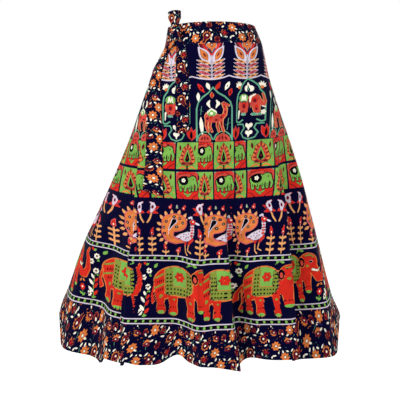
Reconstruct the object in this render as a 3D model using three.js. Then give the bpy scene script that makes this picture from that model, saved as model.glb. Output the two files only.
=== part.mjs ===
// Wrap skirt of printed cotton, tied at the left front, hollow and open at waist and hem.
// Millimetres, +Z up, the front faces -Y. The origin is the middle of the waistband's opening.
// Azimuth is in degrees round the body: 0 at the front, 90 at +X, 180 at the back.
// Length is measured down the cloth from the waist seam, so it is negative on the waistband.
import * as THREE from 'three';

// Cloth
const clothWall = 1.6;
const bandWall = 2.0;
const seamGap = 0.3;
const layerStep = 4.6;
const skirtLength = 950;
const bandHeight = 66;
const seamZ = -33;

// The wrap: where its outer free edge, its seams and its inner free edge lie
const outerEdge = -98;
const sideSeam = 100;
const underSeam = 250;
const underEdge = 412;
const tuckStarts = 196;
const tuckEnds = 246;

// How finely the cloth is drawn
const frontColumns = 78;
const backColumns = 40;
const skirtRows = 14;
const bandRows = 3;

// Rings of the garment as it hangs. sideRise and frontRise tilt a ring, in mm of height for each mm.
const rings = [
  { length: -66, centreX: -4, centreY: 0, halfWidth: 137, halfDepth: 98, sideRise: 0.02, frontRise: 0.08 },
  { length: 0, centreX: 1, centreY: 0, halfWidth: 155, halfDepth: 108, sideRise: 0.045, frontRise: 0.06 },
  { length: 110, centreX: -10, centreY: 12, halfWidth: 191, halfDepth: 137, sideRise: 0.05, frontRise: 0.03 },
  { length: 220, centreX: -12, centreY: 20, halfWidth: 227, halfDepth: 165, sideRise: 0.048, frontRise: 0 },
  { length: 300, centreX: -12, centreY: 24, halfWidth: 254, halfDepth: 186, sideRise: 0.04, frontRise: 0 },
  { length: 470, centreX: -19, centreY: 35, halfWidth: 314, halfDepth: 230, sideRise: 0.03, frontRise: 0 },
  { length: 650, centreX: -34, centreY: 42, halfWidth: 373, halfDepth: 277, sideRise: 0.015, frontRise: 0 },
  { length: 842, centreX: -43, centreY: 50, halfWidth: 430, halfDepth: 325, sideRise: 0.005, frontRise: 0 },
  { length: 950, centreX: -42, centreY: 52, halfWidth: 460, halfDepth: 352, sideRise: 0, frontRise: 0 },
];

// Folds. high, middle and low are a fold's azimuths, reach its half width, height how far it stands out,
// lean how far its crest is pushed round the body. It grows from starts to full and fades by ends.
const foldHigh = 200;
const foldMiddle = 560;
const foldFootShare = 0.45;
const folds = [
  { high: -112, middle: -110, low: -108, reach: 120, height: 22, lean: 0, starts: 300, full: 950, ends: 0 },
  { high: -52, middle: -52, low: -52, reach: 120, height: -48, lean: 0, starts: 450, full: 850, ends: 0 },
  { high: -54, middle: -29, low: -23, reach: 60, height: 34, lean: -36, starts: 120, full: 700, ends: 0 },
  { high: -30, middle: -14, low: -11, reach: 60, height: -22, lean: 10, starts: 300, full: 900, ends: 0 },
  { high: -14, middle: -10, low: -8, reach: 26, height: -8, lean: 0, starts: 40, full: 260, ends: 520 },
  { high: -8, middle: -1, low: 4, reach: 76, height: 50, lean: -16, starts: 380, full: 850, ends: 0 },
  { high: 8, middle: 8, low: 11, reach: 36, height: 22, lean: 26, starts: 380, full: 850, ends: 0 },
  { high: 17, middle: 14, low: 19, reach: 58, height: -58, lean: 0, starts: 420, full: 800, ends: 0 },
  { high: 10, middle: 12, low: 14, reach: 26, height: -9, lean: 0, starts: 60, full: 300, ends: 560 },
  { high: 24, middle: 24, low: 26, reach: 30, height: -8, lean: 0, starts: 100, full: 300, ends: 620 },
  { high: 46, middle: 37, low: 31, reach: 60, height: 36, lean: 40, starts: 200, full: 700, ends: 0 },
  { high: 70, middle: 58, low: 52, reach: 115, height: -84, lean: 0, starts: 250, full: 650, ends: 0 },
  { high: 108, middle: 106, low: 104, reach: 120, height: 24, lean: 0, starts: 300, full: 950, ends: 0 },
  { high: 138, middle: 136, low: 134, reach: 100, height: 44, lean: 0, starts: 200, full: 950, ends: 0 },
  { high: 165, middle: 164, low: 163, reach: 95, height: 36, lean: 0, starts: 260, full: 950, ends: 0 },
  { high: 190, middle: 190, low: 190, reach: 105, height: 46, lean: 0, starts: 220, full: 950, ends: 0 },
  { high: 216, middle: 218, low: 220, reach: 100, height: 40, lean: 0, starts: 300, full: 950, ends: 0 },
];

// Where the hem dips or rises: flat and ramp are half the width in degrees, extra is in mm
const hemStarts = 836;
const hemDips = [
  { azimuth: -56, flat: 12, ramp: 7, extra: 58 },
  { azimuth: -17, flat: 2, ramp: 6, extra: 18 },
  { azimuth: -10, flat: 2, ramp: 5, extra: -14 },
  { azimuth: 14, flat: 1, ramp: 8, extra: 22 },
  { azimuth: 54, flat: 10, ramp: 7, extra: 52 },
];

// Tie tails: the line each one hangs on, half its width, its stand-off and the extra lift of its left edge
const tieColumns = 4;
const longTail = [
  { length: -15.4, azimuth: -54, halfWidth: 12, stand: 7.4, lift: 0 },
  { length: 25, azimuth: -67, halfWidth: 19, stand: 1.4, lift: 2 },
  { length: 100, azimuth: -61, halfWidth: 23, stand: 1.6, lift: 8 },
  { length: 180, azimuth: -50, halfWidth: 23, stand: 1.0, lift: 8 },
  { length: 250, azimuth: -43, halfWidth: 22, stand: 1.2, lift: 6 },
  { length: 350, azimuth: -35.5, halfWidth: 21, stand: 1.8, lift: 4 },
  { length: 462, azimuth: -29, halfWidth: 21, stand: 2.6, lift: 2 },
];
const shortTail = [
  { length: -15.4, azimuth: -42.8, halfWidth: 10, stand: 7.4, lift: 0 },
  { length: 30, azimuth: -35, halfWidth: 17, stand: 1.0, lift: 2 },
  { length: 100, azimuth: -26.5, halfWidth: 20, stand: 0.9, lift: 3 },
  { length: 200, azimuth: -21.5, halfWidth: 20, stand: 1.2, lift: 3 },
  { length: 268, azimuth: -19.3, halfWidth: 20, stand: 1.6, lift: 2 },
];
const longTailRows = 16;
const shortTailRows = 10;

// The strip that comes over the band's top edge to the knot
const leadStrip = [
  { length: -44, azimuth: -40.2, halfWidth: 9, stand: 8.5 },
  { length: -55, azimuth: -29, halfWidth: 11, stand: 0.5 },
];
const leadRows = 4;

// Knot and bow loop
const knot = { azimuth: -48, length: -38, halfWidth: 21, halfHeight: 23, thickness: 26, standOff: 0.4 };
const knotRows = 10;
const knotColumns = 16;
const loop = { azimuth: -51, length: -60.2, halfWidth: 25, height: 50, gap: 3.4, lean: -8, standOff: 8 };
const loopWall = 1.8;
const loopColumns = 4;
const loopTurnSteps = 8;

const degree = Math.PI / 180;
const columnsOfRings = ['centreX', 'centreY', 'halfWidth', 'halfDepth', 'sideRise', 'frontRise'];

function smoothStep(value) {
  const share = Math.min(Math.max(value, 0), 1);
  return share * share * (3 - 2 * share);
}

// A value from a table, on a smooth curve through its rows
function fromTable(table, key, length) {
  const last = table.length - 1;
  let row = 0;
  while (row < last - 1 && length > table[row + 1].length) row += 1;
  const slope = (first, second) =>
    (table[second][key] - table[first][key]) / (table[second].length - table[first].length);
  const span = table[row + 1].length - table[row].length;
  const share = Math.min(Math.max((length - table[row].length) / span, 0), 1);
  const slopeIn = slope(Math.max(row - 1, 0), row + 1) * span;
  const slopeOut = slope(row, Math.min(row + 2, last)) * span;
  const square = share * share;
  const cube = square * share;
  return (
    (2 * cube - 3 * square + 1) * table[row][key] +
    (cube - 2 * square + share) * slopeIn +
    (3 * square - 2 * cube) * table[row + 1][key] +
    (cube - square) * slopeOut
  );
}

function ringAt(length) {
  const ring = {};
  for (const key of columnsOfRings) ring[key] = fromTable(rings, key, length);
  return ring;
}

function wrapped(angle) {
  return ((((angle + 180) % 360) + 360) % 360) - 180;
}

function foldAzimuth(fold, length) {
  if (length < foldMiddle) {
    const share = Math.min(Math.max((length - foldHigh) / (foldMiddle - foldHigh), 0), 1);
    return fold.high + (fold.middle - fold.high) * share;
  }
  return fold.middle + ((fold.low - fold.middle) * (length - foldMiddle)) / (skirtLength - foldMiddle);
}

// How far the folds push the cloth out and round at one place
function foldShift(azimuth, length, speed) {
  const shift = { out: 0, round: 0 };
  for (const fold of folds) {
    let growth = smoothStep((length - fold.starts) / (fold.full - fold.starts)) ** 0.8;
    let reach = fold.reach * (foldFootShare + (1 - foldFootShare) * Math.max(length / skirtLength, 0));
    if (fold.ends > 0) {
      growth *= 1 - smoothStep((length - fold.full) / (fold.ends - fold.full));
      reach = fold.reach;
    }
    const away = wrapped(azimuth - foldAzimuth(fold, length)) * degree * speed;
    if (growth > 0 && Math.abs(away) < reach) {
      const bump = 0.5 * (1 + Math.cos((Math.PI * away) / reach));
      shift.out += fold.height * growth * bump;
      shift.round += fold.lean * growth * bump;
    }
  }
  return shift;
}

// Height lost on the way down the cloth, less than its length where the skirt flares
const dropStep = 25;
function heightLost(azimuth, length) {
  const sine = Math.sin(azimuth * degree);
  const cosine = Math.cos(azimuth * degree);
  const steps = Math.max(Math.ceil(Math.abs(length) / dropStep), 1);
  const span = length / steps;
  let lost = 0;
  let before = null;
  for (let step = 0; step <= steps; step += 1) {
    const ring = ringAt(step * span);
    const x = ring.centreX + ring.halfWidth * sine;
    const y = ring.centreY - ring.halfDepth * cosine;
    if (before) lost += Math.sign(span) * Math.sqrt(span ** 2 - (x - before.x) ** 2 - (y - before.y) ** 2);
    before = { x, y };
  }
  return lost;
}

function hemExtra(azimuth) {
  let extra = 0;
  for (const dip of hemDips) {
    extra += dip.extra * (1 - smoothStep((Math.abs(wrapped(azimuth - dip.azimuth)) - dip.flat) / dip.ramp));
  }
  return extra;
}

// The outer face of the outermost layer
function clothPoint(azimuth, length) {
  const ring = ringAt(length);
  const sine = Math.sin(azimuth * degree);
  const cosine = Math.cos(azimuth * degree);
  const normal = new THREE.Vector2(sine / ring.halfWidth, -cosine / ring.halfDepth).normalize();
  const speed = Math.hypot(ring.halfWidth * cosine, ring.halfDepth * sine);
  const shift = foldShift(azimuth, length, speed);
  const x = ring.centreX + ring.halfWidth * sine + normal.x * shift.out - normal.y * shift.round;
  const y = ring.centreY - ring.halfDepth * cosine + normal.y * shift.out + normal.x * shift.round;
  const dip = hemExtra(azimuth) * smoothStep((length - hemStarts) / (skirtLength - hemStarts));
  const z = seamZ - heightLost(azimuth, length) + ring.sideRise * x - ring.frontRise * y - dip;
  return new THREE.Vector3(x, y, z);
}

const azimuthNudge = 0.2;
const lengthNudge = 1;
function clothNormal(azimuth, length) {
  const round = clothPoint(azimuth + azimuthNudge, length).sub(clothPoint(azimuth - azimuthNudge, length));
  const down = clothPoint(azimuth, length + lengthNudge).sub(clothPoint(azimuth, length - lengthNudge));
  return down.cross(round).normalize();
}

function offsetPoint(azimuth, length, outward) {
  return clothPoint(azimuth, length).addScaledVector(clothNormal(azimuth, length), outward);
}

// How deep under the outermost layer the cloth lies: nothing at the front, one layer past the tuck
function layerDepth(azimuth) {
  return layerStep * smoothStep((azimuth - tuckStarts) / (tuckEnds - tuckStarts));
}

// A closed wall between two sheets of points, given by functions of column and row
function wallGeometry(columns, rows, outerPoint, innerPoint) {
  const positions = [];
  const index = [];
  const sheet = (columns + 1) * (rows + 1);
  for (const place of [outerPoint, innerPoint]) {
    for (let row = 0; row <= rows; row += 1) {
      for (let column = 0; column <= columns; column += 1) positions.push(...place(column, row).toArray());
    }
  }
  const at = (side, column, row) => side * sheet + row * (columns + 1) + column;
  const face = (a, b, c, d) => index.push(a, b, c, a, c, d);
  for (let row = 0; row < rows; row += 1) {
    for (let column = 0; column < columns; column += 1) {
      face(at(0, column, row), at(0, column, row + 1), at(0, column + 1, row + 1), at(0, column + 1, row));
      face(at(1, column, row), at(1, column + 1, row), at(1, column + 1, row + 1), at(1, column, row + 1));
    }
    face(at(0, 0, row), at(1, 0, row), at(1, 0, row + 1), at(0, 0, row + 1));
    face(at(0, columns, row), at(0, columns, row + 1), at(1, columns, row + 1), at(1, columns, row));
  }
  for (let column = 0; column < columns; column += 1) {
    face(at(0, column, 0), at(0, column + 1, 0), at(1, column + 1, 0), at(1, column, 0));
    face(at(0, column, rows), at(1, column, rows), at(1, column + 1, rows), at(0, column + 1, rows));
  }
  const geometry = new THREE.BufferGeometry();
  geometry.setAttribute('position', new THREE.Float32BufferAttribute(positions, 3));
  geometry.setIndex(index);
  return geometry;
}

// Azimuths from one edge to another, closer together where the folds bend the cloth
function spacedAzimuths(from, to, columns) {
  const samples = 400;
  const spacingLength = 650;
  const speed = 320;
  const total = [0];
  for (let sample = 1; sample <= samples; sample += 1) {
    const azimuth = from + ((to - from) * sample) / samples;
    let weight = 1;
    for (const fold of folds) {
      const away = wrapped(azimuth - foldAzimuth(fold, spacingLength)) * degree * speed;
      if (Math.abs(away) < fold.reach) weight += (Math.abs(fold.height) + Math.abs(fold.lean)) / fold.reach;
    }
    total.push(total[sample - 1] + weight);
  }
  const azimuths = [];
  let sample = 0;
  for (let column = 0; column <= columns; column += 1) {
    const wanted = (total[samples] * column) / columns;
    while (sample < samples - 1 && total[sample + 1] < wanted) sample += 1;
    const share = (wanted - total[sample]) / (total[sample + 1] - total[sample]);
    azimuths.push(from + ((to - from) * (sample + share)) / samples);
  }
  return azimuths;
}

// A length of the wrap between two levels
function wrapWall(azimuths, top, bottom, rows, wall) {
  const length = (row) => top + ((bottom - top) * row) / rows;
  const outer = (column, row) => offsetPoint(azimuths[column], length(row), -layerDepth(azimuths[column]));
  const inner = (column, row) =>
    offsetPoint(azimuths[column], length(row), -layerDepth(azimuths[column]) - wall);
  return wallGeometry(azimuths.length - 1, rows, outer, inner);
}

// A strip that hangs on the skirt's face, with its rows taken from a table
function hangingStrip(table, columns, rows, wall) {
  const first = table[0].length;
  const last = table[table.length - 1].length;
  const place = (column, row, outward) => {
    const length = first + ((last - first) * row) / rows;
    const across = (2 * column) / columns - 1;
    const ring = ringAt(length);
    const middle = fromTable(table, 'azimuth', length);
    const speed = Math.hypot(
      ring.halfWidth * Math.cos(middle * degree),
      ring.halfDepth * Math.sin(middle * degree),
    );
    const azimuth = middle + (across * fromTable(table, 'halfWidth', length)) / speed / degree;
    const lift = (fromTable(table, 'lift', length) * (1 - across)) / 2;
    return offsetPoint(azimuth, length, fromTable(table, 'stand', length) + lift + outward);
  };
  return wallGeometry(
    columns,
    rows,
    (column, row) => place(column, row, wall),
    (column, row) => place(column, row, 0),
  );
}

// The strip over the band runs round it, so its rows are azimuths
function leadGeometry() {
  const [start, end] = leadStrip;
  const place = (column, row, outward) => {
    const share = column / leadRows;
    const azimuth = start.azimuth + (end.azimuth - start.azimuth) * share;
    const halfWidth = start.halfWidth + (end.halfWidth - start.halfWidth) * share;
    const middle = start.length + (end.length - start.length) * share;
    const length = middle + (row * 2 - 1) * halfWidth;
    const stand = start.stand + (end.stand - start.stand) * smoothStep(share * 1.4);
    return offsetPoint(azimuth, Math.max(length, -bandHeight), stand + outward);
  };
  return wallGeometry(
    leadRows,
    1,
    (column, row) => place(column, row, clothWall),
    (column, row) => place(column, row, 0),
  );
}

// Axes at one place on the band: out of the cloth, round it and up it
function bandAxes(azimuth, length) {
  const out = clothNormal(azimuth, length);
  const up = new THREE.Vector3(0, 0, 1).addScaledVector(out, -out.z).normalize();
  const round = new THREE.Vector3().crossVectors(up, out);
  return { origin: clothPoint(azimuth, length), out, up, round };
}

// The knot is a pillow with a flat back, cinched across its middle
function knotGeometry() {
  const axes = bandAxes(knot.azimuth, knot.length);
  const cinch = 0.16;
  const backShare = 0.32;
  const profile = [];
  for (let row = 0; row <= knotRows; row += 1) {
    const angle = (Math.PI * row) / knotRows;
    const level = Math.cos(angle);
    profile.push({ across: Math.sin(angle) ** 0.8, along: -Math.sign(level) * Math.abs(level) ** 0.6 });
  }
  const place = (column, row) => {
    const turn = (2 * Math.PI * column) / knotColumns;
    const { across, along } = profile[row];
    const waist = 1 - cinch * (1 - along * along);
    const toFront = Math.cos(turn) > 0;
    const depth = Math.cos(turn) * (toFront ? (1 - backShare) * waist : backShare);
    return axes.origin
      .clone()
      .addScaledVector(axes.up, along * knot.halfHeight)
      .addScaledVector(axes.round, Math.sin(turn) * across * knot.halfWidth * waist)
      .addScaledVector(axes.out, knot.standOff + knot.thickness * (backShare + depth * across));
  };
  const positions = [];
  const index = [];
  positions.push(...place(0, 0).toArray());
  for (let row = 1; row < knotRows; row += 1) {
    for (let column = 0; column < knotColumns; column += 1) positions.push(...place(column, row).toArray());
  }
  positions.push(...place(0, knotRows).toArray());
  const at = (column, row) => 1 + (row - 1) * knotColumns + (column % knotColumns);
  const top = positions.length / 3 - 1;
  for (let column = 0; column < knotColumns; column += 1) {
    index.push(0, at(column + 1, 1), at(column, 1));
    index.push(top, at(column, knotRows - 1), at(column + 1, knotRows - 1));
    for (let row = 1; row < knotRows - 1; row += 1) {
      const corners = [at(column, row), at(column + 1, row), at(column + 1, row + 1), at(column, row + 1)];
      index.push(corners[0], corners[1], corners[2], corners[0], corners[2], corners[3]);
    }
  }
  const geometry = new THREE.BufferGeometry();
  geometry.setAttribute('position', new THREE.Float32BufferAttribute(positions, 3));
  geometry.setIndex(index);
  return geometry;
}

// The bow loop goes up, turns over and comes down behind itself
function loopGeometry() {
  const axes = bandAxes(loop.azimuth, loop.length);
  const middleRadius = (loop.gap + loopWall) / 2;
  const legRows = 3;
  const path = [];
  for (let row = 0; row <= legRows; row += 1) {
    path.push({ out: middleRadius, up: (loop.height * row) / legRows, normal: 0 });
  }
  for (let step = 1; step < loopTurnSteps; step += 1) {
    const angle = (Math.PI * step) / loopTurnSteps;
    path.push({ out: middleRadius * Math.cos(angle), up: loop.height + middleRadius * Math.sin(angle), normal: angle });
  }
  for (let row = legRows; row >= 0; row -= 1) {
    path.push({ out: -middleRadius, up: (loop.height * row) / legRows, normal: Math.PI });
  }
  const place = (column, row, outward) => {
    const { out, up, normal } = path[row];
    const across = (2 * column) / loopColumns - 1;
    const share = up / loop.height;
    const halfWidth = loop.halfWidth * (0.55 + 0.45 * smoothStep(share * 1.6));
    return axes.origin
      .clone()
      .addScaledVector(axes.round, across * halfWidth + loop.lean * share)
      .addScaledVector(axes.out, loop.standOff + out + Math.cos(normal) * outward)
      .addScaledVector(axes.up, up + Math.sin(normal) * outward);
  };
  return wallGeometry(
    loopColumns,
    path.length - 1,
    (column, row) => place(column, row, -loopWall / 2),
    (column, row) => place(column, row, loopWall / 2),
  );
}

const printColour = 0x1c1a58;
const tieColour = 0x1a1850;

function addPiece(group, name, geometry, color) {
  geometry.computeVertexNormals();
  const material = new THREE.MeshStandardMaterial({ color, roughness: 0.85, metalness: 0 });
  const mesh = new THREE.Mesh(geometry, material);
  mesh.name = name;
  group.add(mesh);
}

const frontAzimuths = spacedAzimuths(outerEdge, sideSeam, frontColumns);
const seamTurn = 0.12;
const backAzimuths = spacedAzimuths(sideSeam + seamTurn, underSeam, backColumns);
const lapColumns = 4;
const lapAzimuths = spacedAzimuths(underSeam + seamTurn, outerEdge + 360, lapColumns).slice(0, lapColumns);
const underAzimuths = [
  ...lapAzimuths,
  ...frontAzimuths.map((azimuth) => azimuth + 360).filter((azimuth) => azimuth <= underEdge),
];
const bandEvery = (azimuths, step) =>
  azimuths.filter((azimuth, column) => column % step === 0 || column === azimuths.length - 1);

const skirt = new THREE.Group();
const panels = [
  { name: 'panel_front_outer', azimuths: frontAzimuths },
  { name: 'panel_back', azimuths: backAzimuths },
  { name: 'panel_front_under', azimuths: underAzimuths },
];
for (const { name, azimuths } of panels) {
  addPiece(skirt, name, wrapWall(azimuths, 0, skirtLength, skirtRows, clothWall), printColour);
}

const bandTurn = 0.15;
const bandAzimuths = [
  ...bandEvery(frontAzimuths, 2),
  ...bandEvery(backAzimuths, 2).filter((azimuth) => azimuth > sideSeam + 1),
];
const bands = [
  { name: 'waistband', azimuths: bandAzimuths },
  {
    name: 'waistband_under',
    azimuths: bandEvery(underAzimuths, 2).map((azimuth, column) => (column === 0 ? azimuth + bandTurn : azimuth)),
  },
];
for (const { name, azimuths } of bands) {
  addPiece(skirt, name, wrapWall(azimuths, -bandHeight, -seamGap, bandRows, bandWall), tieColour);
}

addPiece(skirt, 'tie_tail_long', hangingStrip(longTail, tieColumns, longTailRows, clothWall), tieColour);
addPiece(skirt, 'tie_tail_short', hangingStrip(shortTail, tieColumns, shortTailRows, clothWall), tieColour);
addPiece(skirt, 'tie_lead', leadGeometry(), tieColour);
addPiece(skirt, 'tie_knot', knotGeometry(), tieColour);
addPiece(skirt, 'tie_loop', loopGeometry(), tieColour);

export default skirt;
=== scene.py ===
import math

import bmesh
import bpy
import numpy as np
from mathutils import Matrix, Vector


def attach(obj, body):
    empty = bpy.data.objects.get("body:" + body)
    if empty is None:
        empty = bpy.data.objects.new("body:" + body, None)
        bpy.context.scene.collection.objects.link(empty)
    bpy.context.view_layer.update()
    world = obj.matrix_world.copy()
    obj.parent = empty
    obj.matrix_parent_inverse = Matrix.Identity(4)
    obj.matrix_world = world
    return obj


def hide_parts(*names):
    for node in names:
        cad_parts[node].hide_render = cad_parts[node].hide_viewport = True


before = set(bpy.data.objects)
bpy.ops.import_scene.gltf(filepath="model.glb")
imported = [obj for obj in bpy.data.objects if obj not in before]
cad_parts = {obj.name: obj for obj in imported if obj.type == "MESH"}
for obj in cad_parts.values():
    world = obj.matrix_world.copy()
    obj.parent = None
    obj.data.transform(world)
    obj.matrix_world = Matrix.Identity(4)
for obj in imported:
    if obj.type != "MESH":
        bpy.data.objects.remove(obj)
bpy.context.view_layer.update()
pieces, materials = {}, {}

# The wrap skirt in metres, +Z up, front towards -Y. The tables are in millimetres.
# Azimuth is in degrees round the body, 0 at the front and 90 at +X.
# Length is measured down the cloth from the waist seam, so it is negative on the waistband.
degree = math.pi / 180
cloth = {
    "length": 950,
    "bandHeight": 66,
    "seamZ": -33,
    "outerEdge": -98,  # azimuths of the two free edges
    "underEdge": 412,
    "layerStep": 4.6,  # how far the lapped panel lies behind the outer one
    "tuckStarts": 196,
    "tuckEnds": 246,
}

# length, centreX, centreY, halfWidth, halfDepth, sideRise, frontRise
ringTable = np.array([
    (-66, -4, 0, 137, 98, 0.02, 0.08),
    (0, 1, 0, 155, 108, 0.045, 0.06),
    (110, -10, 12, 191, 137, 0.05, 0.03),
    (220, -12, 20, 227, 165, 0.048, 0),
    (300, -12, 24, 254, 186, 0.04, 0),
    (470, -19, 35, 314, 230, 0.03, 0),
    (650, -34, 42, 373, 277, 0.015, 0),
    (842, -43, 50, 430, 325, 0.005, 0),
    (950, -42, 52, 460, 352, 0, 0),
])

# high, middle and low azimuth, reach, height, lean, starts, full, ends
foldLevels = (200, 560, 950)
foldTable = (
    (-112, -110, -108, 120, 22, 0, 300, 950, 0),
    (-52, -52, -52, 120, -48, 0, 450, 850, 0),
    (-54, -29, -23, 60, 34, -36, 120, 700, 0),
    (-30, -14, -11, 60, -22, 10, 300, 900, 0),
    (-14, -10, -8, 26, -8, 0, 40, 260, 520),
    (-8, -1, 4, 76, 50, -16, 380, 850, 0),
    (8, 8, 11, 36, 22, 26, 380, 850, 0),
    (17, 14, 19, 58, -58, 0, 420, 800, 0),
    (10, 12, 14, 26, -9, 0, 60, 300, 560),
    (24, 24, 26, 30, -8, 0, 100, 300, 620),
    (46, 37, 31, 60, 36, 40, 200, 700, 0),
    (70, 58, 52, 115, -84, 0, 250, 650, 0),
    (108, 106, 104, 120, 24, 0, 300, 950, 0),
    (138, 136, 134, 100, 44, 0, 200, 950, 0),
    (165, 164, 163, 95, 36, 0, 260, 950, 0),
    (190, 190, 190, 105, 46, 0, 220, 950, 0),
    (216, 218, 220, 100, 40, 0, 300, 950, 0),
)

# Where the hem dips or rises: azimuth, flat, ramp, extra
hemStarts = 836
hemTable = (
    (-60, 15, 6, 60), (-33, 6, 6, 30), (-17, 2, 6, 18), (-10, 2, 5, -14), (14, 1, 8, 22), (62, 12, 5, 54),
    (-95, 10, 9, -28), (95, 10, 9, -28),
)


def smoothStep(value):
    share = np.clip(value, 0, 1)
    return share * share * (3 - 2 * share)


def wrapped(angle):
    return (angle + 180) % 360 - 180


def alongTable(knots, values, where):
    knots, values = np.asarray(knots, float), np.asarray(values, float)
    last = len(knots) - 1
    row = np.clip(np.searchsorted(knots, where) - 1, 0, last - 1)
    before, after = np.maximum(row - 1, 0), np.minimum(row + 2, last)
    span = knots[row + 1] - knots[row]
    share = np.clip((where - knots[row]) / span, 0, 1)
    slopeIn = (values[row + 1] - values[before]) / (knots[row + 1] - knots[before]) * span
    slopeOut = (values[after] - values[row]) / (knots[after] - knots[row]) * span
    square, cube = share**2, share**3
    start = (2 * cube - 3 * square + 1) * values[row] + (cube - 2 * square + share) * slopeIn
    return start + (3 * square - 2 * cube) * values[row + 1] + (cube - square) * slopeOut


def ringAt(length):
    return [alongTable(ringTable[:, 0], ringTable[:, column], length) for column in range(1, 7)]


# Height lost on the way down the cloth, kept as a table of length and azimuth
dropLengths = np.arange(-70, 991, 5.0)
dropAzimuths = np.arange(-130, 451, 1.0)


def makeDropTable():
    ring = ringAt(dropLengths)
    turn = dropAzimuths * degree
    x = ring[0][:, None] + ring[2][:, None] * np.sin(turn)
    y = ring[1][:, None] - ring[3][:, None] * np.cos(turn)
    run = np.diff(x, axis=0) ** 2 + np.diff(y, axis=0) ** 2
    steps = np.sqrt(np.maximum(np.diff(dropLengths)[:, None] ** 2 - run, 0))
    fallen = np.vstack([np.zeros((1, len(turn))), np.cumsum(steps, axis=0)])
    return fallen - fallen[np.searchsorted(dropLengths, 0)]


dropTable = makeDropTable()


def tableAt(table, row, column):
    row = np.clip(row, 0, table.shape[0] - 1.001)
    column = np.clip(column, 0, table.shape[1] - 1.001)
    r, c = row.astype(int), column.astype(int)
    down, across = row - r, column - c
    upper = table[r, c] * (1 - across) + table[r, c + 1] * across
    lower = table[r + 1, c] * (1 - across) + table[r + 1, c + 1] * across
    return upper * (1 - down) + lower * down


def clothPoint(azimuth, length):
    azimuth, length = np.broadcast_arrays(np.asarray(azimuth, float), np.asarray(length, float))
    centreX, centreY, halfWidth, halfDepth, sideRise, frontRise = ringAt(length)
    sine, cosine = np.sin(azimuth * degree), np.cos(azimuth * degree)
    normalX, normalY = sine / halfWidth, -cosine / halfDepth
    size = np.hypot(normalX, normalY)
    normalX, normalY = normalX / size, normalY / size
    speed = np.hypot(halfWidth * cosine, halfDepth * sine)
    out, around = np.zeros(azimuth.shape), np.zeros(azimuth.shape)
    for high, middle, low, reach, height, lean, starts, full, ends in foldTable:
        growth = smoothStep((length - starts) / (full - starts)) ** 0.8
        width = reach * (0.45 + 0.55 * np.maximum(length / cloth["length"], 0))
        if ends > 0:
            growth = growth * (1 - smoothStep((length - full) / (ends - full)))
            width = reach
        middles = np.interp(length, foldLevels[:2], (high, middle))
        below = (low - middle) * (length - foldLevels[1]) / (foldLevels[2] - foldLevels[1])
        middles = middles + np.where(length > foldLevels[1], below, 0)
        away = wrapped(azimuth - middles) * degree * speed
        bump = np.where(np.abs(away) < width, 0.5 * (1 + np.cos(math.pi * away / width)), 0) * growth
        out += height * bump
        around += lean * bump
    x = centreX + halfWidth * sine + normalX * out - normalY * around
    y = centreY - halfDepth * cosine + normalY * out + normalX * around
    dip = np.zeros(azimuth.shape)
    for middle, flat, ramp, extra in hemTable:
        dip += extra * (1 - smoothStep((np.abs(wrapped(azimuth - middle)) - flat) / ramp))
    dip *= smoothStep((length - hemStarts) / (cloth["length"] - hemStarts))
    fallen = tableAt(dropTable, (length - dropLengths[0]) / 5, azimuth - dropAzimuths[0])
    z = cloth["seamZ"] - fallen + sideRise * x - frontRise * y - dip
    return np.stack([x, y, z], axis=-1)


def clothNormal(azimuth, length):
    around = clothPoint(azimuth + 0.2, length) - clothPoint(azimuth - 0.2, length)
    down = clothPoint(azimuth, length + 1) - clothPoint(azimuth, length - 1)
    normal = np.cross(down, around)
    return normal / np.linalg.norm(normal, axis=-1, keepdims=True)


def layerDepth(azimuth):
    share = (azimuth - cloth["tuckStarts"]) / (cloth["tuckEnds"] - cloth["tuckStarts"])
    return cloth["layerStep"] * smoothStep(share)


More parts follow.
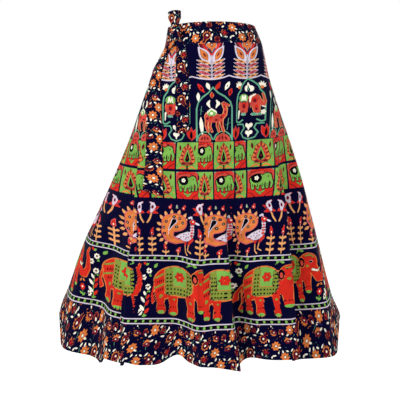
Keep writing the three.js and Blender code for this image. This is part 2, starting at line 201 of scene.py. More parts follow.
# Creases, placed as soft ridges and troughs: start and end azimuth and length, half width, height
creaseTable = (
    (-0.5, 400, 4.2, 1000, 8, -7.5), (14.5, 420, 9.2, 1000, 8, -7.5), (40, 500, 29, 1000, 8, -6.5),
    (-33, 470, -22, 1000, 8, -6.0), (-60, 640, -55, 1000, 8, -4.5), (-45, 6, -31, 150, 11, 2.0),
    (-40, 4, -22, 95, 8, -1.5), (-50, 10, -62, 170, 12, 1.8), (-57, 12, -74, 120, 9, -1.4),
    (-33, 2, -15, 60, 7, 1.3), (-27, 2, -27, 80, 6, -1.2), (-12, 2, -9, 95, 7, 1.4),
    (0, 3, 1, 70, 6, -1.2), (12, 2, 14, 110, 8, 1.6), (26, 2, 27, 75, 6, -1.3), (38, 2, 40, 120, 8, 1.5),
    (52, 2, 55, 85, 7, -1.2), (66, 2, 67, 130, 9, 1.6), (82, 2, 84, 90, 7, -1.2),
    (-72, 2, -78, 105, 8, 1.5), (-86, 2, -88, 80, 7, -1.2), (-66, 180, -52, 330, 14, 2.2),
    (-80, 260, -70, 470, 15, -2.0), (-38, 250, -24, 420, 13, 2.0), (-8, 330, -16, 520, 12, -1.8),
    (30, 240, 24, 430, 14, 2.2), (58, 300, 66, 470, 15, 2.0), (82, 230, 76, 400, 13, -1.8),
    (-60, 520, -66, 700, 16, 2.6), (-44, 600, -40, 760, 13, -2.0), (44, 560, 50, 740, 16, 2.4),
    (72, 620, 66, 820, 15, -2.0), (88, 540, 92, 760, 16, 2.4), (-88, 600, -90, 800, 15, 2.2),
    (2, 640, -2, 780, 11, 1.8), (-24, 700, -30, 860, 12, 2.0), (-70, 850, -50, 905, 10, 2.0),
    (-36, 890, -20, 862, 9, -1.6), (20, 900, 38, 868, 10, 2.0), (60, 870, 80, 910, 11, -1.8),
    (118, 3, 120, 120, 8, 1.5), (136, 2, 134, 90, 7, -1.2), (154, 3, 156, 140, 9, 1.6),
    (176, 2, 174, 85, 7, -1.2), (196, 3, 198, 125, 8, 1.5), (218, 2, 217, 95, 7, -1.3),
    (236, 3, 234, 110, 8, 1.4), (126, 300, 132, 520, 15, 2.2), (158, 380, 150, 600, 15, -2.0),
    (184, 280, 190, 500, 15, 2.2), (224, 360, 216, 580, 14, 2.0), (142, 660, 148, 860, 16, 2.4),
    (176, 640, 172, 840, 15, -2.0), (206, 620, 212, 830, 16, 2.4), (238, 700, 234, 880, 14, 2.0),
)
bandCreases = (
    (-36, -60, -20, -30, 6, 0.9), (-34, -20, -14, -12, 5, -0.7), (-64, -58, -76, -20, 6, 0.9),
    (-60, -10, -84, -14, 5, -0.6), (8, -64, 12, -6, 5, 0.6), (34, -62, 30, -8, 5, -0.6),
    (58, -64, 62, -4, 6, 0.8), (84, -62, 82, -10, 5, -0.6), (120, -64, 124, -6, 6, 0.8),
    (160, -62, 158, -8, 5, -0.6), (198, -64, 202, -6, 6, 0.8), (232, -62, 230, -8, 5, 0.7),
)


def speedAt(azimuth, length):  # millimetres round the ring for each radian
    ring = ringAt(length)
    return np.hypot(ring[2] * np.cos(azimuth * degree), ring[3] * np.sin(azimuth * degree))


def creaseHeight(azimuth, length):
    height = np.zeros(azimuth.shape)
    speed = speedAt(azimuth, length)
    for fromAzimuth, fromLength, toAzimuth, toLength, halfWidth, bump in creaseTable + bandCreases:
        share = np.clip((length - fromLength) / (toLength - fromLength), 0, 1)
        middle = fromAzimuth + (toAzimuth - fromAzimuth) * share
        across = wrapped(azimuth - middle) * degree * speed
        past = np.minimum(length - min(fromLength, toLength), max(fromLength, toLength) - length)
        run = abs(toLength - fromLength)
        fade = smoothStep(past / (0.35 * run) + 0.15)
        wave = 0.5 + 0.5 * np.cos(math.pi * across / halfWidth / 2)
        height += bump * fade * np.where(np.abs(across) < halfWidth * 2, wave, 0)
    return height


def offsetPoint(azimuth, length, outward):
    outward = np.asarray(outward) + creaseHeight(azimuth, length)
    return clothPoint(azimuth, length) + clothNormal(azimuth, length) * outward[..., None]


# How far round the cloth a place is, in millimetres along the folded cloth from the outer edge
roundAzimuths = np.arange(cloth["outerEdge"], cloth["underEdge"] + 3, 0.5)
roundLengths = np.linspace(-70, 990, 107)


def makeRoundTable():
    points = clothPoint(roundAzimuths[None, :], roundLengths[:, None])
    steps = np.linalg.norm(np.diff(points, axis=1), axis=-1)
    return np.hstack([np.zeros((len(roundLengths), 1)), np.cumsum(steps, axis=1)])


roundTable = makeRoundTable()
fullTurn = roundTable[:, np.searchsorted(roundAzimuths, cloth["outerEdge"] + 360)]


def roundAt(azimuth, length):
    return tableAt(roundTable, (length - roundLengths[0]) / 10, (azimuth - roundAzimuths[0]) * 2)


def turnAt(azimuth, length):
    return roundAt(azimuth, length) / np.interp(length, roundLengths, fullTurn)


print("cloth surface ready")


# Node helpers
def toLinear(hexColour):
    channels = [int(hexColour[place : place + 2], 16) / 255 for place in (1, 3, 5)]
    return [c / 12.92 if c <= 0.04045 else ((c + 0.055) / 1.055) ** 2.4 for c in channels] + [1.0]


def addNode(tree, kind, settings=None, inputs=None):
    node = tree.nodes.new(kind)
    for name, value in (settings or {}).items():
        setattr(node, name, value)
    for name, value in (inputs or {}).items():
        if isinstance(value, bpy.types.NodeSocket):
            tree.links.new(value, node.inputs[name])
        else:
            node.inputs[name].default_value = value
    return node


def newMaterial(name):
    material = bpy.data.materials.new(name)
    material.use_nodes = True
    material.node_tree.nodes.clear()
    return material, material.node_tree


def coat(tree, settings):
    output = addNode(tree, "ShaderNodeOutputMaterial")
    shader = addNode(tree, "ShaderNodeBsdfPrincipled", None, settings)
    tree.links.new(shader.outputs[0], output.inputs[0])


# A sheet of cloth: a flat grid whose points are then laid on the surface
def flatGrid(name, columns, rows):
    bm = bmesh.new()
    bmesh.ops.create_grid(bm, x_segments=columns, y_segments=rows, size=0.5)
    mesh = bpy.data.meshes.new(name)
    bm.to_mesh(mesh)
    bm.free()
    spots = np.empty(len(mesh.vertices) * 3, np.float32)
    mesh.vertices.foreach_get("co", spots)
    spots = spots.reshape(-1, 3)
    across, down = spots[:, 0] + 0.5, 0.5 - spots[:, 1]
    setMap(mesh, "OFBake", across, 1 - down)
    return mesh, across, down


def setMap(mesh, name, x, y):
    layer = mesh.uv_layers.new(name=name)
    corners = np.empty(len(mesh.loops), np.int32)
    mesh.loops.foreach_get("vertex_index", corners)
    layer.data.foreach_set("uv", np.stack([x, y], axis=1)[corners].astype(np.float32).ravel())


def addPiece(mesh, material):
    mesh.materials.append(materials[material])
    piece = bpy.data.objects.new(mesh.name, mesh)
    bpy.context.scene.collection.objects.link(piece)
    return piece


def finishCloth(mesh, points, material, node):
    mesh.vertices.foreach_set("co", (points * 0.001).astype(np.float32).ravel())
    mesh.polygons.foreach_set("use_smooth", np.ones(len(mesh.polygons), bool))
    mesh.update()
    piece = pieces[mesh.name] = addPiece(mesh, material)
    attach(piece, "root")
    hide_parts(node)


# Printing. Each ink is a signed distance in millimetres at each point, above 0 where it covers.
inkColours = {
    "lilac": "#cfc3d2",
    "white": "#ece7d4",
    "black": "#05040b",
    "green": "#74a84a",
    "mint": "#5f9f80",
    "olive": "#7c8936",
    "red": "#c8281c",
    "orange": "#d2743a",
    "maroon": "#6a1220",
    "pink": "#c95a62",
    "coral": "#c5463a",
    "peach": "#dd9c62",
}
inkNames = list(inkColours)
inkReach = 6.0


def emptyInks(count):
    return np.full((len(inkNames), count), -inkReach, np.float32)


def paintInk(inks, ink, distance):
    distance = np.clip(distance, -inkReach, inkReach).astype(np.float32)
    kept = None if ink == "ground" else np.maximum(inks[inkNames.index(ink)], distance)
    np.minimum(inks, -distance, out=inks)
    if kept is not None:
        inks[inkNames.index(ink)] = kept


def storeInks(mesh, inks):
    for screen in range(3):
        layer = mesh.attributes.new(f"screen{screen + 1}", "FLOAT_COLOR", "POINT")
        four = inks[screen * 4 : screen * 4 + 4].T
        layer.data.foreach_set("color", np.ascontiguousarray(four).ravel())


# Where the print lies round the cloth, read off the folds that show: share of a full turn at the
# band's top and at its bottom, and how many repeats of the print lie to the left of that place,
# with a second count for the band's bottom where the two differ.
# Where the phase jumps, the cloth between lies hidden in a fold.
printBands = {
    "palmettes": {
        "top": 15,
        "bottom": 100,
        "period": 118,
        "places": (
            (0.1093, 0.1495, 0), (0.1922, 0.2138, 0.5), (0.2639, 0.2739, 1),
            (0.3245, 0.3250, 1.5), (0.3943, 0.3834, 2), (0.4706, 0.4396, 2.5),
        ),
    },
    "arches": {
        "top": 120,
        "bottom": 285,
        "period": 113,
        "places": (
            (0.0480, 0.0950, -1), (0.1118, 0.1560, -0.5), (0.1698, 0.1960, 0),
            (0.2197, 0.2335, 0.46), (0.2330, 0.2449, 0.56), (0.2779, 0.2790, 1),
            (0.3348, 0.3243, 1.46), (0.3409, 0.3288, 1.54), (0.3834, 0.3620, 2),
            (0.4726, 0.4120, 2.47), (0.5112, 0.4480, 3),
        ),
    },
    "squares": {
        "top": 300,
        "bottom": 466,
        "period": 80,
        "places": (
            (0.0262, 0.0472, -2.6), (0.0540, 0.0830, -2), (0.0915, 0.1511, -1),
            (0.0934, 0.1519, -0.45), (0.1356, 0.1702, -0.01), (0.1379, 0.1719, 0),
            (0.1985, 0.2152, 1), (0.2471, 0.2528, 1.95), (0.2482, 0.2537, 2.15),
            (0.2807, 0.2790, 3), (0.3280, 0.3154, 4), (0.3291, 0.3162, 4.5),
            (0.3575, 0.3361, 5), (0.4266, 0.3821, 6), (0.4642, 0.3956, 7),
            (0.4663, 0.3963, 8.79, 7.4),
        ),
    },
    "peacocks": {
        "top": 490,
        "bottom": 640,
        "period": 189,
        "places": (
            (0.0420, 0.0690, 0.439), (0.0780, 0.1012, 0.656), (0.1284, 0.1640, 1),
            (0.1524, 0.1676, 1.1), (0.1533, 0.1683, 1.39), (0.1773, 0.1873, 1.656),
            (0.2109, 0.2138, 2), (0.2567, 0.2575, 2.434), (0.2624, 0.2622, 2.49),
            (0.2630, 0.2628, 2.85), (0.2762, 0.2743, 3), (0.3066, 0.3172, 3.307),
            (0.3094, 0.3199, 3.33), (0.3103, 0.3206, 3.76), (0.3291, 0.3383, 4),
            (0.3732, 0.3736, 4.434), (0.3918, 0.3882, 4.656), (0.3994, 0.3935, 4.74),
            (0.4300, 0.4300, 4.98), (0.4310, 0.4310, 5.1), (0.4740, 0.4840, 5.42),
            (0.4910, 0.4900, 5.56), (0.5040, 0.5010, 5.78), (0.5450, 0.5400, 6.1),
        ),
    },
    "elephants": {
        "top": 665,
        "bottom": 830,
        "period": 258,
        "places": (
            (0.0278, 0.0629, 0.25), (0.0598, 0.0835, 0.527), (0.0784, 0.0964, 0.682),
            (0.1500, 0.1742, 1), (0.1656, 0.1770, 1.11), (0.1661, 0.1774, 1.45),
            (0.1883, 0.1966, 1.682), (0.2231, 0.2278, 2), (0.2508, 0.2541, 2.175),
            (0.2627, 0.2647, 2.285), (0.2632, 0.2651, 2.74), (0.2896, 0.2882, 3),
            (0.3222, 0.2951, 3.08), (0.3230, 0.2957, 3.54), (0.3415, 0.3426, 3.682),
            (0.3752, 0.3740, 4), (0.3906, 0.3869, 4.175), (0.3956, 0.3912, 4.22),
            (0.4300, 0.4250, 4.36), (0.4310, 0.4260, 4.62), (0.4840, 0.4680, 5.02),
            (0.4912, 0.4767, 5.16), (0.5037, 0.4842, 5.27), (0.5400, 0.4990, 5.5),
        ),
    },
}
printLevels = {
    "scallop": 108,
    "archFoot": 290,
    "squaresTop": 294,
    "upperSquares": 337.5,
    "squaresMiddle": 382,
    "lowerSquares": 427.5,
    "squaresBottom": 472,
    "peacockFoot": 644,
    "firstBorder": 652,
    "elephantFoot": 832,
    "secondBorder": 840,
}

# Between two places the print is stretched or squeezed at most twofold, and skips what is left
mostStretch = 2.0
straightAgain = 0.66


def repeatsAt(band, turn, length):
    share = (length - band["top"]) / (band["bottom"] - band["top"])
    rate = np.interp((band["top"] + band["bottom"]) / 2, roundLengths, fullTurn) / band["period"]
    top, bottom, low = band["places"][-1][:3]
    low = (low + band["places"][-1][-1]) / 2
    past = low + (straightAgain - (top + bottom) / 2) * rate
    places = (*band["places"], (straightAgain, straightAgain, past))
    phase = places[0][2] + (turn - places[0][0] - (places[0][1] - places[0][0]) * share) * rate
    for place, following in zip(places, places[1:]):
        start, end = (at[0] + (at[1] - at[0]) * share for at in (place, following))
        low, high = (at[2] + (at[-1] - at[2]) * share for at in (place, following))
        slope = (high - low) / np.maximum(end - start, 1e-4)
        slope = np.clip(slope, rate / mostStretch, rate * mostStretch)
        phase = np.where(turn > start, low + slope * (turn - start), phase)
    return np.where(turn > straightAgain, past + (turn - straightAgain) * rate, phase)


# Shapes of the print, as signed distances in millimetres, above 0 inside
def ovalShape(x, y, middleX, middleY, halfX, halfY, turn=0):
    c, s = math.cos(turn * degree), math.sin(turn * degree)
    along = ((x - middleX) * c + (y - middleY) * s) / halfX
    over = ((y - middleY) * c - (x - middleX) * s) / halfY
    return (1 - np.hypot(along, over)) * min(halfX, halfY)


def boxShape(x, y, middleX, middleY, halfX, halfY):
    return np.minimum(halfX - np.abs(x - middleX), halfY - np.abs(y - middleY))


def coverShape(x, y, middleX, middleY, halfX, halfY, *oval):
    return np.minimum(boxShape(x, y, middleX, middleY, halfX, halfY), ovalShape(x, y, *oval))


def strokeShape(x, y, *points):
    best = np.full(x.shape, -1e3)
    for (x0, y0, w0), (x1, y1, w1) in zip(points, points[1:]):
        spanX, spanY = x1 - x0, y1 - y0
        share = np.clip(((x - x0) * spanX + (y - y0) * spanY) / (spanX**2 + spanY**2), 0, 1)
        away = np.hypot(x - x0 - spanX * share, y - y0 - spanY * share)
        best = np.maximum(best, (w0 + (w1 - w0) * share) / 2 - away)
    return best


def leafShape(x, y, x0, y0, x1, y1, width):
    spanX, spanY = x1 - x0, y1 - y0
    size = math.hypot(spanX, spanY)
    share = ((x - x0) * spanX + (y - y0) * spanY) / size**2
    side = np.abs((y - y0) * spanX - (x - x0) * spanY) / size
    half = width / 2 * np.sin(math.pi * np.clip(share, 0, 1) ** 0.85)
    past = (np.abs(share - 0.5) - 0.5) * size
    return np.where(past > 0, -np.hypot(side, past), half - side)


def flowerShape(x, y, middleX, middleY, radius, petals, depth):
    angle = np.arctan2(y - middleY, x - middleX)
    edge = radius * (1 - depth + depth * np.abs(np.cos(angle * petals / 2)) * 1.6)
    return edge - np.hypot(x - middleX, y - middleY)


shapeMakers = {
    "oval": ovalShape,
    "box": boxShape,
    "cover": coverShape,
    "stroke": strokeShape,
    "leaf": leafShape,
    "flower": flowerShape,
}


# A motif is a list of rows: the inks from the widest to the narrowest, then the shapes they fill.
# "ink+2" spreads 2 mm past the shapes, and "both" draws a row on both sides of the middle.
def printMotif(inks, x, y, motif):
    for row in motif:
        words = row[0].split()
        across = x
        if words[0] == "both":
            across, words = np.abs(x), words[1:]
        distance = np.full(x.shape, -1e3)
        for shape in row[1:]:
            distance = np.maximum(distance, shapeMakers[shape[0]](across, y, *shape[1:]))
        for word in words:
            ink, _, spread = word.partition("+")
            paintInk(inks, ink, distance + float(spread or 0))


def printPart(inks, where, x, y, *motifs):
    part = inks[:, where]
    for motif in motifs:
        printMotif(part, x, y, motif)
    inks[:, where] = part


def each(shape, spots, *size):  # the same shape at each spot
    return [(shape, *spot, *size) for spot in spots]


def line(width, *spots):  # a stroke of one width
    return ("stroke", *[(x, y, width) for x, y in spots])


def fan(reach, width, turns):  # leaves round the motif's middle
    ends = [(reach * math.cos(turn * degree), reach * math.sin(turn * degree)) for turn in turns]
    return [("leaf", 0, 0, x, y, width) for x, y in ends]


palmette = [
    ("both lilac+1.6 maroon", ("leaf", 12, 74, 42, 116, 11)),
    ("both pink+1.4 red", ("stroke", (0, 72, 4), (14, 86, 6), (29, 114, 6))),
    (
        "lilac+1.8 ground+.6 orange",
        ("oval", -7, 103, 8, 10),
        ("oval", 7, 103, 8, 10),
        ("stroke", (0, 100, 16), (0, 84, 2)),
    ),
    ("maroon", ("oval", 0, 103, 4.6, 5.4)),
    ("white", ("oval", 0, 103, 2, 2.4)),
    ("both lilac", ("leaf", 4, 50, 42, 100, 29)),
    ("both ground+1.3 orange", ("leaf", 12, 58, 35, 92, 16)),
    ("both maroon", ("leaf", 17, 67, 27, 82, 5)),
]
for level, ink in zip((2, 13, 24, 35, 46), ("peach", "pink", "peach", "pink", "peach")):
    palmette.append((f"both lilac+1.5 {ink}", ("leaf", 3, level, 44, level + 13, 8.5)))
    palmette.append(("both maroon", ("leaf", 12, level + 3.5, 33, level + 8.5, 3.2)))
palmette.append(("lilac", ("stroke", (0, -6, 5.4), (0, 70, 4.6))))
palmette.append(("ground", ("stroke", (0, 3, 1.6), (0, 64, 1.2))))

camelArch = [
    ("both mint", line(4.4, (51, -2), (51, 96), (46, 114), (32, 130), (14, 142), (0, 158))),
    ("peach+1.5 red", ("leaf", -3, 127, -3, 144, 9)),
    ("both white", ("stroke", (10, 119, 4), (15, 110, 10), (8, 97, 2))),
    ("white", ("leaf", -38, 72, -33, 10, 12)),
    ("both mint", ("stroke", (38, 78, 1.6), (35, 104, 1.4)), ("stroke", (31, 88, 1.4), (42, 94, 1.4))),
    ("mint", ("stroke", (38, 30, 1.8), (42, 66, 1.4)), ("stroke", (34, 44, 1.4), (46, 52, 1.4))),
    ("both mint", line(3.6, (2, 2), (7, 15), (18, 25), (34, 25), (45, 15), (50, 2))),
    ("both peach+1.2 coral", ("oval", 26, -3, 19, 21)),
    ("both maroon", ("leaf", 14, -1, 20, 11, 5), ("leaf", 26, -1, 26, 14, 5), ("leaf", 38, -1, 32, 11, 5)),
    (
        "peach+1.6 coral",
        ("oval", 3, 66, 22, 12, 5),
        ("oval", -14, 71, 11, 14),
        ("stroke", (21, 66, 15), (32, 76, 9), (34, 92, 8), (29, 109, 9), (42, 103, 4)),
        ("stroke", (-18, 62, 10), (-21, 44, 6), (-15, 26, 5)),
        ("stroke", (-8, 60, 9), (-10, 42, 6), (-3, 26, 5)),
        ("stroke", (14, 60, 9), (12, 42, 6), (16, 26, 5)),
        ("stroke", (23, 62, 9), (24, 44, 6), (29, 26, 5)),
    ),
    ("white+1.2 green", ("oval", -4, 83, 13, 10)),
    ("white", ("stroke", (-15, 84, 3), (-4, 95, 4), (9, 84, 3)), ("oval", -4, 81, 5, 4)),
    (
        "maroon",
        *each("oval", ((-17, 66, 4, 4), (9, 61, 5, 3), (23, 68, 3, 4), (33, 84, 1.8, 5))),
        *each("oval", ((-20, 50), (-9, 49), (13, 48), (24, 50)), 1.6, 6),
        *each("oval", ((31, 99, 1.6, 3), (30, 110, 1.8, 1.6))),
    ),
    ("red", ("oval", -6, 68, 5, 4), ("oval", 28, 74, 3, 4)),
    (
        "pink+.8 red",
        *each("leaf", ((-50, 170, -25, 142, 12), (8, 150, 19, 174, 10), (50, 154, 43, 130, 10))),
    ),
    ("white", *each("leaf", ((-21, 172, -9, 150, 12), (44, 174, 32, 148, 11), (-47, 144, -45, 116, 11)))),
    ("ground", *each("oval", ((-37, 156, 2.4, 4, 40), (38, 161, 1.4, 4, -25), (46, 142, 1.8, 4, -15)))),
]

archSide = ((20, 57), (31, 50), (42, 52), (42, 112), (38, 134), (28, 147), (23, 161), (11, 173), (0, 181))
fanTips = ((24, 170), (31, 175), (39, 174), (46, 168), (47, 159))
elephantArch = [
    (
        "both mint",
        line(4.4, *archSide),
        line(4, (39, 44), (19, 44), (14, 32), (25, 17), (17, 3), (0, -3)),
    ),
    ("white", ("oval", -5, 40, 5, 7, 20), ("oval", 5, 40, 5, 7, -20), ("stroke", (0, 38, 10), (0, 24, 1))),
    ("white", ("oval", -5, 18, 5, 6, 20), ("oval", 5, 18, 5, 6, -20), ("stroke", (0, 16, 10), (0, 2, 1))),
    ("both pink+1.4 red", *each("leaf", ((48, 0, 33, 36, 13), (48, -2, 47, 40, 12), (49, 0, 59, 34, 11)))),
    ("both maroon+1.2 black", ("leaf", 47, 4, 46, 27, 7)),
    ("both white", *[("leaf", 33, 156, *tip, 6) for tip in fanTips]),
    ("both orange", ("oval", 33, 155, 5, 5)),
    ("white", ("oval", -6, 151, 7, 9), ("oval", 6, 151, 7, 9), ("stroke", (0, 153, 14), (0, 170, 1))),
    ("ground", ("stroke", (0, 147, 9), (0, 161, 1))),
    ("mint", ("stroke", (0, 148, 4), (0, 157, 1))),
    (
        "peach+1.2 coral",
        ("oval", -15, 100, 19, 22),
        ("stroke", (-20, 96, 20), (-18, 76, 11)),
        ("oval", 14, 114, 15, 19),
        ("stroke", (16, 108, 22), (20, 76, 13)),
        ("stroke", (25, 112, 15), (36, 99, 8), (41, 108, 6), (37, 124, 5), (34, 134, 4)),
    ),
    ("white+.8 mint", ("oval", -18, 74, 7, 4.5), ("oval", 13, 73, 7, 4.5), ("oval", 27, 72, 6, 4)),
    ("mint+1.2 green", ("oval", -17, 122, 15, 13)),
    ("white", ("stroke", (-25, 114, 3), (-21, 129, 6), (-17, 116, 3), (-12, 129, 6), (-9, 114, 3))),
    ("white", ("stroke", (3, 110, 3), (5, 126, 5), (15, 133, 4)), ("stroke", (30, 97, 2), (41, 93, 4))),
    ("ground", ("stroke", (-1, 120, 1.6), (2, 100, 3), (0, 82, 7))),
    ("red", ("oval", -16, 101, 8, 10), ("oval", 14, 116, 7, 8), ("oval", 18, 94, 4, 8)),
    ("maroon", *each("oval", ((-17, 98, 5, 7), (-20, 84, 3, 3), (14, 114, 4, 5), (18, 88, 3, 4)))),
    ("black", ("oval", 22, 120, 1.6, 1.6), ("stroke", (-30, 108, 1.4), (-24, 112, 1.4), (-10, 112, 1.4))),
    ("white", ("stroke", (-35, 62, 3), (-33, 84, 6)), ("flower", 36, 78, 7, 5, 0.25)),
]

squareHalf = (37.5, 41)
treeSquare = [
    ("green", ("box", 0, 0, *squareHalf)),
    ("maroon+1.2 orange", ("stroke", (0, -6, 48), (0, 12, 36), (0, 36, 2)), ("oval", 0, -13, 26, 15)),
    ("coral", ("stroke", (0, -7, 36), (0, 12, 22), (0, 26, 2))),
    (
        "both maroon",
        *each("leaf", ((9, -21, 22, -24), (13, -12, 25, -11), (13, -2, 23, 4)), 5),
        *each("leaf", ((10, 8, 19, 16, 5), (6, 17, 12, 27, 4.5), (0, 22, 0, 37, 5))),
    ),
    ("maroon+1 green", ("stroke", (0, -9, 23), (0, 18, 3))),
    ("black", ("stroke", (0, -11, 15), (0, 10, 2))),
    ("maroon", ("oval", 0, -7, 2.6, 4)),
    ("both maroon", ("stroke", (0, -26, 3), (10, -24, 4), (20, -29, 2))),
    ("both orange", ("stroke", (4, -39, 4), (14, -33, 5), (27, -39, 4))),
    ("black", ("stroke", (0, -31, 5), (0, -41, 5))),
    ("both maroon", ("leaf", 24, 14, 27, 35, 7), ("oval", 30, -5, 2, 2)),
    ("both black", ("oval", 25.5, 25, 1.6, 3)),
    ("both orange", ("oval", 32, 36, 2, 2), ("oval", 33, -24, 2, 3)),
]

elephantSquare = [
    ("coral", ("box", 0, 0, *squareHalf)),
    ("red", ("box", 0, -28, 37.5, 13)),
    ("red", ("stroke", (-30, 36, 3), (0, 39, 6), (30, 34, 3))),
    (
        "maroon+2.4 black+1.4 green",
        ("oval", -8, 9, 23, 17),
        ("oval", 18, 15, 13, 13),
        ("stroke", (27, 12, 9), (33, -2, 6), (30, -14, 5)),
        ("stroke", (-23, 2, 11), (-23, -15, 8)),
        ("stroke", (-8, -2, 9), (-8, -15, 8)),
        ("stroke", (8, 0, 9), (8, -15, 8)),
        ("stroke", (19, 2, 9), (19, -14, 7)),
    ),
    ("black", ("oval", -12, 14, 16, 14)),
    ("white", ("flower", -12, 15, 6, 5, 0.3)),
    ("green", ("oval", -12, 15, 2, 2)),
    ("black", *[line(2, (at, -3), (at, -12)) for at in (-24, -19, -9, 7, 12, 19)]),
    ("black", ("oval", 22, 18, 2.4, 2)),
    ("maroon", ("stroke", (-34, 22, 2), (-26, 33, 3), (0, 36, 2))),
    ("maroon", ("stroke", (10, 33, 2), (30, 27, 3), (34, 14, 2))),
    ("both maroon", ("stroke", (36, -26, 2), (25, -31, 3), (15, -40, 2))),
    ("maroon+1 green", ("stroke", (-13, -23, 3), (0, -31, 8), (13, -23, 3))),
    ("maroon", ("oval", -4, -29, 1.6, 1.6), ("oval", 4, -29, 1.6, 1.6)),
    ("mint", ("stroke", (-38, 39, 5), (-30, 41, 3)), ("stroke", (32, 41, 3), (38, 38, 4))),
]

tailTips = (
    (-30, 108, -41, 125), (-18, 118, -25, 137), (-4, 122, -3, 141), (14, 122, 20, 141), (28, 114, 40, 132),
    (-35, 92, -51, 101), (-38, 78, -54, 80), (-36, 64, -51, 60), (-30, 52, -43, 43), (-18, 44, -28, 32),
    (30, 104, 43, 116),
)
tailDots = ((3, 119), (19, 114), (27, 101), (-21, 104), (9, 88), (-28, 86), (-27, 68))
backSpots = ((28, 60), (37, 67), (46, 71), (34, 54), (45, 61), (20, 58), (38, 59), (29, 67))
peacock = [
    ("pink+.8 peach", *each("leaf", tailTips, 9)),
    (
        "pink+2.4 orange",
        ("oval", 4, 101, 34, 26, 8),
        ("stroke", (-9, 98, 52), (-18, 76, 34), (-13, 56, 26), (5, 45, 15), (27, 44, 2)),
    ),
    ("peach", ("oval", 5, 104, 22, 17, 8)),
    ("orange", ("oval", 5, 104, 20, 15, 8), ("stroke", (-12, 92, 20), (-16, 80, 14))),
    ("maroon", ("stroke", (-22, 74, 1), (-23, 62, 2.6), (-14, 50, 1))),
    ("maroon", ("stroke", (-12, 68, 1), (-10, 58, 2.6), (2, 48, 1))),
    ("pink", ("stroke", (-28, 60, 2), (-18, 46, 2.4), (4, 40, 1))),
    ("pink", ("stroke", (-3, 60, 1), (4, 52, 2.4), (18, 46, 1))),
    ("lilac+2.2 black", ("stroke", (3, 106, 13), (-13, 80, 1))),
    ("lilac", ("stroke", (-13, 80, 2), (-15, 64, 1.6), (-8, 56, 1))),
    ("pink+1 black", *each("oval", tailDots, 3.6, 3.6)),
    ("white", *each("oval", tailDots, 1.5, 1.5)),
    ("pink+1 red", ("stroke", (57, 56, 11), (46, 38, 5)), ("stroke", (35, 48, 9), (33, 35, 4))),
    (
        "pink+.6 peach",
        ("stroke", (46, 37, 3), (43, 21, 3), (55, 15, 4)),
        ("stroke", (33, 34, 3), (35, 15, 3), (42, 7, 4)),
    ),
    ("pink+1.2 lilac", ("oval", 38, 62, 21, 14, 20), ("stroke", (28, 62, 22), (6, 57, 1))),
    ("maroon", *each("oval", backSpots, 2.3, 1.7, 30)),
    ("black", ("stroke", (6, 64, 1), (22, 72, 6), (44, 79, 2))),
    ("lilac+1.6 coral", ("stroke", (56, 66, 9), (59, 86, 6), (57, 102, 6))),
    ("lilac", *[line(2.4, (52, level), (64, level + 1)) for level in (70, 78, 86, 94)]),
    ("pink+1.4 red", ("oval", 60, 107, 8, 7)),
    ("white", ("oval", 61, 108, 2.6, 2.4)),
    ("lilac", ("leaf", 66, 106, 82, 98, 6), ("stroke", (48, 118, 5), (56, 121, 6), (58, 113, 2))),
    ("pink+1.2 red", ("stroke", (-24, 24, 9), (-27, 36, 2)), ("stroke", (12, 15, 9), (17, 26, 2))),
    ("white", ("oval", -24, 25, 1.5, 2.2), ("oval", 12, 16, 1.5, 2.2)),
    ("peach", ("stroke", (-32, 13, 5), (-23, 9, 4), (-14, 13, 5))),
    ("peach", line(3, (-23, 18), (-23, 0)), line(3, (12, 10), (12, 0))),
    ("pink+1.2 red", ("stroke", (-10, 147, 9), (-5, 156, 2)), ("stroke", (31, 145, 9), (36, 155, 2))),
    ("white", ("oval", -10, 148, 1.5, 2.4), ("oval", 31, 146, 1.5, 2.4)),
    ("lilac+1.4 green", ("stroke", (11, 147, 4), (11, 154, 1))),
]
curledPlants = [
    (
        "both pink+.7 peach",
        line(4, (21, -2), (21, 58)),
        *[("stroke", (11, level + 4, 7), (21, level, 4), (31, level + 4, 7)) for level in (14, 31, 48)],
    ),
    ("both pink+1.6 red", ("stroke", (21, 67, 10), (21, 76, 8), (25, 86, 2))),
    ("both white", ("oval", 21, 68, 2, 3)),
    ("both pink+.6 peach", ("stroke", (20, 130, 5), (15, 113, 6), (6, 100, 5))),
    (
        "both pink+1 red",
        *each("leaf", ((20, 137, 43, 149, 10), (20, 134, 41, 128, 9), (20, 134, 3, 130, 9))),
    ),
    (
        "both pink+1.4 lilac",
        ("stroke", (23, 148, 18), (19, 134, 9)),
        ("stroke", (23, 156, 9), (11, 162, 2)),
    ),
    ("both pink+.8 maroon", ("oval", 22, 147, 3, 5), ("oval", 32, 141, 2, 2)),
]
# Plants stand to the left and to the right of each peacock
plantMiddles = (-86.5, 102.5)

